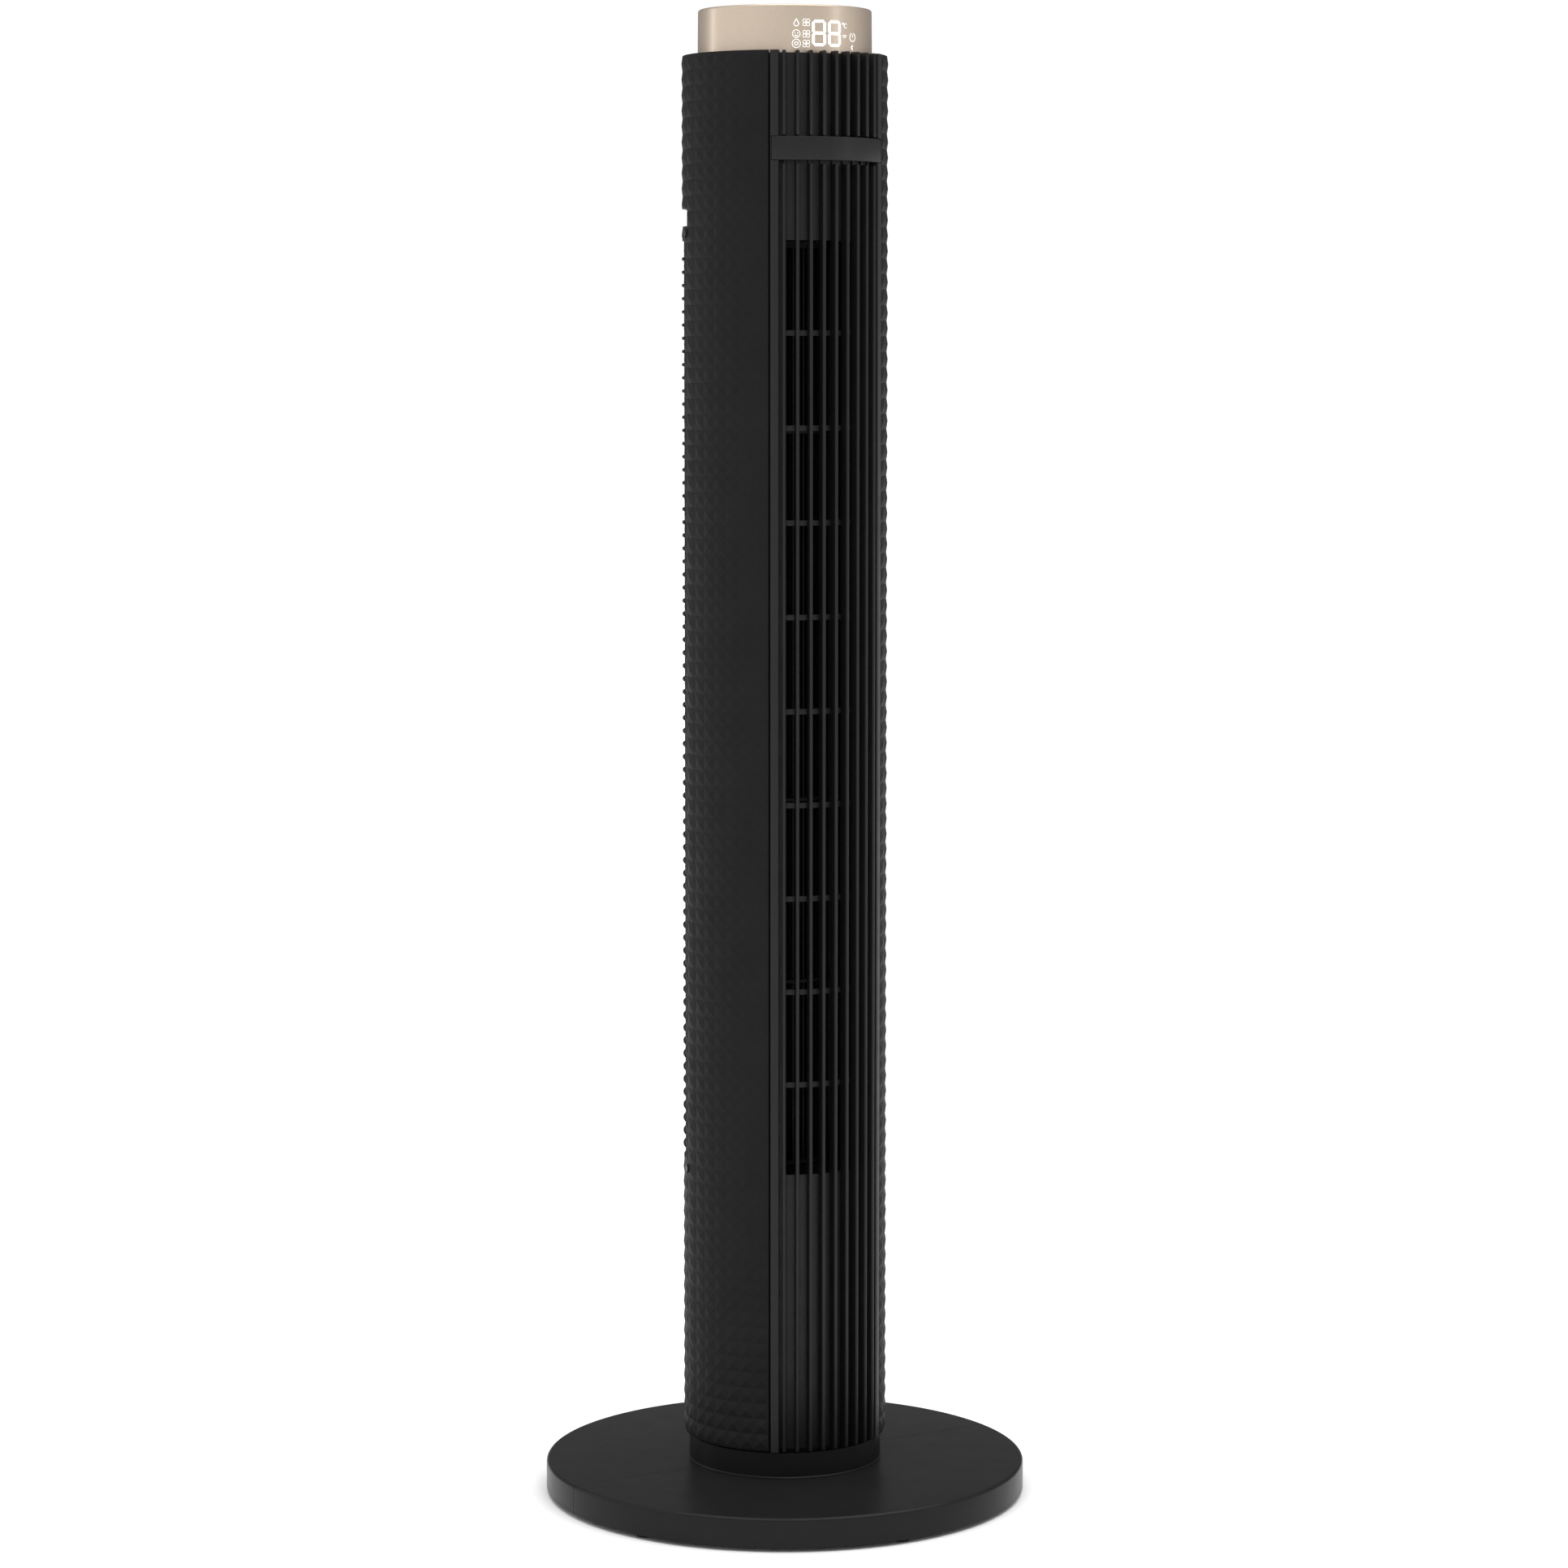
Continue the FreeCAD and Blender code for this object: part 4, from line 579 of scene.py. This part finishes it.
INTAKE_LOW, INTAKE_HIGH, INTAKE_HALF = 244.05, 906.62, 72.85
INTAKE_INNER, INTAKE_OUTER = 70.55, 73.0
FRAME_LOW, FRAME_HIGH, FRAME_HALF = 246.3, 904.37, 71.45
FRAME_CUT_INNER, FRAME_CUT_OUTER = 68, 76
RIB_COUNT, RIB_STEP, RIB_TALL, RIB_INNER, RIB_LAP = 69, 9.37, 2.4, 70.7, 0.3
TIE_COUNT, TIE_STEP, TIE_HALF_WIDTH = 7, 22, 1.2
TIE_INNER, TIE_OUTER, TIE_LOW, TIE_HIGH = 70.62, 71.6, 245.0, 905.6


def intake():
    """The rear grille: a frame, level ribs, and upright ties behind them."""
    grille = mesh_object("intake_grille", lathe(
        box_profile(INTAKE_INNER, INTAKE_OUTER, INTAKE_LOW, INTAKE_HIGH, 0.4),
        REAR - INTAKE_HALF, 2 * INTAKE_HALF, 120))
    hole = box_profile(FRAME_CUT_INNER, FRAME_CUT_OUTER, FRAME_LOW, FRAME_HIGH, 0.0)
    combine(grille, lathe(hole, REAR - FRAME_HALF, 2 * FRAME_HALF, 118), "DIFFERENCE")
    ribs = []
    for index in range(1, RIB_COUNT + 1):
        foot = INTAKE_HOLE[1] + RIB_STEP * index
        ribs.append(lathe(box_profile(RIB_INNER, TOWER_RADIUS, foot, foot + RIB_TALL, 0.9, 0.3),
                          REAR - FRAME_HALF - RIB_LAP, 2 * FRAME_HALF + 2 * RIB_LAP, 72))
    combine(grille, merged(ribs), "UNION")
    ties = []
    for index in range(TIE_COUNT):
        plan = turned([(TIE_INNER, -TIE_HALF_WIDTH), (TIE_OUTER, -TIE_HALF_WIDTH),
                       (TIE_OUTER, TIE_HALF_WIDTH), (TIE_INNER, TIE_HALF_WIDTH)],
                      REAR + TIE_STEP * (index - (TIE_COUNT - 1) / 2))
        ties.append(stacked([at_height(plan, level) for level in (TIE_LOW, TIE_HIGH)]))
    combine(grille, merged(ties), "UNION")
    finish_piece(grille, "tower", "housing_plastic", "rear_grille")


intake()


# --- base and cap -----------------------------------------------------------------------------

BASE_RADIUS, BASE_LOW, BASE_HIGH, BASE_WALL = 173.5, 3.0, 24.0, 2.5
BASE_HOLE, BASE_SEAM_GAP, BASE_SEAM_BEVEL = 40.0, 0.15, 0.7
FEET_CIRCLE, BOSS_RADIUS, BOSS_HIGH = 163.5, 6.6, 22.0
FRONT_FEET, REAR_FEET = (-90, -157, -23), (-224, 44)
INLET_RADIUS, INLET_HEIGHT, INLET_FROM, INLET_TO = 7.0, 12.5, 160.0, 180.0
CAP_LOW, CAP_HIGH, CAP_RADIUS, CAP_HIGH_RADIUS = 1030.2, 1067.0, 61.95, 61.6
CAP_WALL, RECESS_RADIUS, RECESS_FLOOR, RECESS_CORNER = 2.5, 50.5, 1064.2, 59.1


def base_half(label, middle, feet):
    """A half disc: a shallow shell with a rounded rim and a bevelled seam."""
    inside, under = BASE_RADIUS - BASE_WALL, BASE_HIGH - BASE_WALL
    profile = rounded([(BASE_HOLE, under, 0), (inside, under, 1.5), (inside, BASE_LOW, 0.4),
                       (BASE_RADIUS, BASE_LOW, 0.7), (BASE_RADIUS, BASE_HIGH, 2.6),
                       (BASE_HOLE, BASE_HIGH, 0)], 6)
    half = mesh_object("base_disc_" + label, lathe(profile, middle - 90, 180, 150))
    bosses = []
    for angle in feet:
        plan = circle(*polar(FEET_CIRCLE, angle), BOSS_RADIUS, 32)
        bosses.append(stacked([at_height(plan, level) for level in (BASE_LOW, BOSS_HIGH)]))
    combine(half, merged(bosses), "UNION")
    if middle == REAR:
        plan = circle(0, INLET_HEIGHT, INLET_RADIUS, 40)
        inlet = [[(x, depth, z) for x, z in plan] for depth in (INLET_FROM, INLET_TO)]
        combine(half, stacked(inlet), "DIFFERENCE")
    shift = BASE_SEAM_GAP if middle == REAR else -BASE_SEAM_GAP
    half.data.transform(Matrix.Translation((0, shift * MM, 0)))
    bevel = half.modifiers.new("seam", "BEVEL")
    bevel.width = BASE_SEAM_BEVEL * MM
    bevel.segments = 2
    bevel.limit_method = "ANGLE"
    bevel.angle_limit = math.radians(60)
    finish_piece(half, "base", "base_plastic", "base_" + label + "_half")


def cap():
    """The gold ring round the top, with the recess that holds the keys' panel."""
    profile = rounded([(CAP_RADIUS - CAP_WALL, CAP_LOW, 0), (CAP_RADIUS, CAP_LOW, 0.2),
                       (CAP_HIGH_RADIUS, CAP_HIGH, 1.6), (RECESS_RADIUS, CAP_HIGH, 0.35),
                       (RECESS_RADIUS, RECESS_FLOOR, 0), (RECESS_CORNER, RECESS_FLOOR, 0.8)], 8)
    shell = mesh_object("gold_cap", lathe(profile, steps=256))
    finish_piece(shell, "tower", "gold_finish", "top_cap")


base_half("front", FRONT, FRONT_FEET)
base_half("rear", REAR, REAR_FEET)
cap()


# --- display and key marks --------------------------------------------------------------------

PLATE_LIFT, PLATE_DEEP, PLATE_BEND_RADIUS = 0.09, 0.25, 61.7
SLICE_STEP, SLICES_EACH_WAY, SLICE_OFFSET = 1.5, 18, 0.1
DIGIT_LOW, DIGIT_HIGH, DIGIT_BAR, BAR_GAP = 1038.0, 1056.2, 1.9, 0.18
DIGIT_SPANS = ((-13.0, -2.5), (-0.7, 9.8))
FACE_COLUMN, FAN_COLUMN, UNIT_COLUMN, CLOCK_COLUMN = -24.3, -17.2, 13.4, 21.6
MIDDLE_ROW, LOW_ROW, ICON_RADIUS = 1046.3, 1039.6, 2.9
THIN_LINE, LINE = 0.38, 0.42
KEYS = ["timer_key", "mode_key", "power_key", "speed_key", "swing_key"]
KEY_CIRCLE, KEY_STEP, KEY_TOP, MARK_DEEP, MARK_LIFT = 34.0, 30, 1066.9, 0.1, 0.05


def cap_radius(height):
    """The cap's outer radius, which tapers a little to the top."""
    taper = (CAP_RADIUS - CAP_HIGH_RADIUS) / (CAP_HIGH - CAP_LOW)
    return CAP_RADIUS - taper * (height - CAP_LOW)


def cap_plates(name, outlines, light):
    """Thin lit plates bent round the cap, from outlines of (distance from the front, height)."""
    flat = merged([stacked([at_height(outline, proud) for proud in (-PLATE_DEEP, PLATE_LIFT)])
                   for outline in outlines])
    work = bmesh.new()
    points = [work.verts.new(point) for point in flat[0]]
    for corners in flat[1]:
        work.faces.new([points[i] for i in corners])
    for step in range(-SLICES_EACH_WAY, SLICES_EACH_WAY + 1):
        slice_at(work, 0, SLICE_STEP * step + SLICE_OFFSET)
    work.verts.index_update()
    verts = []
    for vert in work.verts:
        along, height, proud = vert.co
        angle = FRONT + math.degrees(along / PLATE_BEND_RADIUS)
        verts.append((*polar(cap_radius(height) + proud, angle), height))
    faces = [tuple(vert.index for vert in made.verts) for made in work.faces]
    work.free()
    plates = finish_piece(mesh_object(name, (verts, faces)), "tower", "clear", smooth=0)
    plates.data.materials[0] = light


def stroke(points, width):
    """Outlines of a bent line of even width: short plates that lap a little at the bends."""
    shapes = []
    half = width / 2
    for (x0, y0), (x1, y1) in zip(points, points[1:]):
        size = math.hypot(x1 - x0, y1 - y0)
        dx, dy = (x1 - x0) / size, (y1 - y0) / size
        ex, ey = dx * half * 0.5, dy * half * 0.5
        shapes.append([(x0 - ex - dy * half, y0 - ey + dx * half),
                       (x0 - ex + dy * half, y0 - ey - dx * half),
                       (x1 + ex + dy * half, y1 + ey - dx * half),
                       (x1 + ex - dy * half, y1 + ey + dx * half)])
    return shapes


def arc(x, y, radius, begin, end, steps=16):
    turns = [math.radians(begin + (end - begin) * i / steps) for i in range(steps + 1)]
    return [(x + radius * math.cos(turn), y + radius * math.sin(turn)) for turn in turns]


def segment(x0, y0, x1, y1, width):
    """One lit bar of a digit, with pointed ends."""
    half = width / 2
    size = math.hypot(x1 - x0, y1 - y0)
    dx, dy = (x1 - x0) / size, (y1 - y0) / size
    x0, y0 = x0 + dx * BAR_GAP, y0 + dy * BAR_GAP
    x1, y1 = x1 - dx * BAR_GAP, y1 - dy * BAR_GAP
    nx, ny = -dy * half, dx * half
    return [(x0, y0), (x0 + dx * half + nx, y0 + dy * half + ny),
            (x1 - dx * half + nx, y1 - dy * half + ny), (x1, y1),
            (x1 - dx * half - nx, y1 - dy * half - ny), (x0 + dx * half - nx, y0 + dy * half - ny)]


def eight(left, right):
    """An eight from seven lit bars."""
    half = DIGIT_BAR / 2
    x0, x1 = left + half, right - half
    y0, y2 = DIGIT_LOW + half, DIGIT_HIGH - half
    y1 = (y0 + y2) / 2
    bars = [(x0, y0, x1, y0), (x0, y1, x1, y1), (x0, y2, x1, y2),
            (x0, y0, x0, y1), (x0, y1, x0, y2), (x1, y0, x1, y1), (x1, y1, x1, y2)]
    return [segment(*bar, DIGIT_BAR) for bar in bars]


def small_fan(x, y, radius, width=0.32):
    """Four looped blades about a hub."""
    shapes = [arc(x, y, radius * 0.14, 0, 360, 10)[:-1]]
    for turn in (45, 135, 225, 315):
        along = math.radians(turn)
        bx, by = x + radius * 0.62 * math.cos(along), y + radius * 0.62 * math.sin(along)
        shapes += stroke(arc(bx, by, radius * 0.4, turn - 120, turn + 200, 14), width)
    return shapes


def drop(x, y, radius):
    outline = arc(x, y - radius * 0.25, radius * 0.62, -230, 50, 16) + [(x, y + radius)]
    return stroke(outline + outline[:1], 0.45)


def ring(x, y, radius, width=THIN_LINE, begin=0, end=360):
    return stroke(arc(x, y, radius, begin, end, 22), width)


def face(x, y, radius):
    """A round face with two eyes and a mouth line."""
    shapes = ring(x, y, radius * 0.92)
    for side in (-1, 1):
        eye = arc(x + side * radius * 0.36, y + radius * 0.22, radius * 0.13, 0, 360, 8)
        shapes.append(eye[:-1])
    return shapes + stroke(arc(x, y, radius * 0.48, 215, 325, 8), LINE)


def moon(x, y, radius):
    outer = arc(x, y, radius, 60, 300, 16)
    inner = arc(x + radius * 0.55, y, radius * 0.8, 245, 115, 12)
    return [outer + inner]


def display():
    """The lit figures and symbols on the cap's side."""
    digits = [bar for span in DIGIT_SPANS for bar in eight(*span)]
    cap_plates("display_digits", digits, DIGIT_LIGHT)

    icons = []
    for height in (1054.2, MIDDLE_ROW, LOW_ROW):
        icons += small_fan(FAN_COLUMN, height, ICON_RADIUS)
    icons += drop(FACE_COLUMN, 1054.0, 2.7)
    icons += face(FACE_COLUMN, MIDDLE_ROW, ICON_RADIUS)
    icons += ring(FACE_COLUMN, LOW_ROW, ICON_RADIUS)
    icons += stroke(arc(FACE_COLUMN, 1039.0, 1.6, 30, 150, 8), LINE)
    icons += stroke(arc(FACE_COLUMN, 1040.2, 1.6, 210, 330, 8), LINE)
    icons += ring(12.1, 1054.3, 0.55, 0.35)
    icons += stroke(arc(14.6, 1052.9, 1.5, 50, 310, 10), LINE)
    icons += stroke(arc(UNIT_COLUMN, 1044.0, 2.4, 40, 140, 10), LINE)
    icons += stroke(arc(UNIT_COLUMN, 1044.0, 1.1, 40, 140, 6), LINE)
    icons += ring(CLOCK_COLUMN, 1045.3, ICON_RADIUS, 0.45, 110, 430)
    icons += stroke([(CLOCK_COLUMN, 1045.3), (CLOCK_COLUMN, 1047.2)], LINE)
    icons += moon(CLOCK_COLUMN, 1038.1, 1.7)
    cap_plates("display_icons", icons, ICON_LIGHT)


def key_mark(key, x, y, shapes):
    """A printed mark that rides with its key, from outlines about the key's centre."""
    plates = []
    for shape in shapes:
        plan = [(x + u, y + v) for u, v in shape]
        plates.append(stacked([at_height(plan, KEY_TOP - MARK_DEEP),
                               at_height(plan, KEY_TOP + MARK_LIFT)]))
    mark = mesh_object(key + "_mark", merged(plates))
    finish_piece(mark, key, "key_plastic", smooth=0)
    mark.data.materials[0] = KEY_PRINT


def key_marks():
    hands = stroke([(0, 1.8), (0, 0), (1.3, -0.6)], 0.5)
    steps = [[(-2.8 + 2 * i, -2.2), (-1.6 + 2 * i, -2.2),
              (-1.6 + 2 * i, -0.6 + 1.3 * i), (-2.8 + 2 * i, -0.6 + 1.3 * i)] for i in range(3)]
    arrows = stroke([(-3.6, 1.7), (-2.9, 0.4), (-1.5, 0.8)], 0.5)
    arrows += stroke([(3.6, 1.7), (2.9, 0.4), (1.5, 0.8)], 0.5)
    marks = {
        "timer_key": ring(0, 0, 2.7, 0.5) + hands,
        "mode_key": small_fan(0, 0, 3.2),
        "power_key": ring(0, 0, 2.6, 0.55, 120, 420) + stroke([(0, 0.6), (0, 3.3)], 0.55),
        "speed_key": steps,
        "swing_key": ring(0, -2.4, 4.2, 0.5, 45, 135) + arrows,
    }
    for index, key in enumerate(KEYS):
        place = polar(KEY_CIRCLE, FRONT + KEY_STEP * (index - 2))
        key_mark(key, *place, marks[key])


display()
key_marks()


# --- floor, light and camera ------------------------------------------------------------------

# The floor is in millimetres as the shapes are; the lights and the camera are placed in metres.
FLOOR_HALF = 40000
ROOM_FRONT, ROOM_BEYOND, ROOM_LEFT, ROOM_RIGHT = 0.86, 0.20, 1.22, 0.76
BACKDROP = 1.05
SKY_ENERGY, SKY_ANGLE, SKY_TILT = 2.3, 70, (8, 6)
CAMERA_TURN, CAMERA_TILT, CAMERA_AWAY, CAMERA_HEIGHT = -30, 4.869, 3.0509, 0.8265
LENS, SENSOR, LENS_SHIFT, CLIP_END = 97.72, 36, (-0.0005, -0.045), 60


def floor():
    far = FLOOR_HALF
    made = mesh_object("floor", ([(-far, -far, 0), (far, -far, 0), (far, far, 0), (-far, far, 0)],
                                 [(0, 1, 2, 3)]))
    finish = Finish("floor", (0.93, 0.93, 0.93), 0.85, specular=0.1)
    finish.vary_roughness(3, 0.8, 0.9)
    made.data.materials.append(finish.material)


def soft_box(name, where, target, wide, tall, power):
    """A rectangular light, in metres and watts, that faces its target."""
    light = bpy.data.lights.new(name, "AREA")
    light.shape = "RECTANGLE"
    light.size, light.size_y, light.energy = wide, tall, power
    obj = bpy.data.objects.new(name, light)
    obj.location = where
    obj.rotation_euler = (Vector(target) - Vector(where)).to_track_quat("-Z", "Y").to_euler()
    bpy.context.scene.collection.objects.link(obj)


def surroundings():
    """White behind the object, and a graded room in its reflections, which is dimmer beyond the
    object and to the right."""
    world = bpy.data.worlds.new("studio")
    bpy.context.scene.world = world
    world.use_nodes = True
    tree = world.node_tree
    tree.nodes.clear()
    link = tree.links.new
    direction = tree.nodes.new("ShaderNodeTexCoord").outputs["Generated"]

    def graded(axis, near, far, low, high):
        dot = tree.nodes.new("ShaderNodeVectorMath")
        dot.operation = "DOT_PRODUCT"
        dot.inputs[1].default_value = Vector(axis).normalized()
        link(direction, dot.inputs[0])
        ramp = tree.nodes.new("ShaderNodeMapRange")
        ramp.interpolation_type = "SMOOTHSTEP"
        set_range(ramp, near, far, low, high)
        link(dot.outputs["Value"], ramp.inputs["Value"])
        return ramp.outputs["Result"]

    product = tree.nodes.new("ShaderNodeMath")
    product.operation = "MULTIPLY"
    link(graded((0.5, 0.866, -0.1), 0.0, 0.78, ROOM_FRONT, ROOM_BEYOND), product.inputs[0])
    link(graded((0.866, -0.5, 0.0), -1.0, 0.7, ROOM_LEFT, ROOM_RIGHT), product.inputs[1])
    room = tree.nodes.new("ShaderNodeBackground")
    link(product.outputs[0], room.inputs["Strength"])
    white = tree.nodes.new("ShaderNodeBackground")
    for shade in (room, white):
        shade.inputs["Color"].default_value = (1, 1, 1, 1)
    white.inputs["Strength"].default_value = BACKDROP
    rays = tree.nodes.new("ShaderNodeLightPath")
    mix = tree.nodes.new("ShaderNodeMixShader")
    link(rays.outputs["Is Camera Ray"], mix.inputs[0])
    link(room.outputs[0], mix.inputs[1])
    link(white.outputs[0], mix.inputs[2])
    out = tree.nodes.new("ShaderNodeOutputWorld")
    link(mix.outputs[0], out.inputs["Surface"])


def ceiling():
    """A very soft light from above."""
    sun = bpy.data.lights.new("ceiling", "SUN")
    sun.energy, sun.angle = SKY_ENERGY, math.radians(SKY_ANGLE)
    above = bpy.data.objects.new("ceiling", sun)
    above.rotation_euler = (math.radians(SKY_TILT[0]), math.radians(SKY_TILT[1]), 0)
    bpy.context.scene.collection.objects.link(above)


def photo_camera():
    camera = bpy.data.cameras.new("camera")
    camera.lens, camera.sensor_width, camera.clip_end = LENS, SENSOR, CLIP_END
    camera.shift_x, camera.shift_y = LENS_SHIFT
    eye = bpy.data.objects.new("camera", camera)
    eye.location = (*polar(CAMERA_AWAY, FRONT + CAMERA_TURN), CAMERA_HEIGHT)
    eye.rotation_euler = (math.radians(90 - CAMERA_TILT), 0, math.radians(CAMERA_TURN))
    bpy.context.scene.collection.objects.link(eye)
    bpy.context.scene.camera = eye


surroundings()
floor()
ceiling()
soft_box("right", (2.1, -2.35, 1.3), (0, 0, 0.6), 0.5, 2.2, 5)
soft_box("left", (-1.95, 2.27, 1.25), (0, 0, 1.0), 0.3, 0.9, 2.5)
photo_camera()
bpy.context.scene.view_settings.view_transform = "Standard"

bpy.context.view_layer.update()
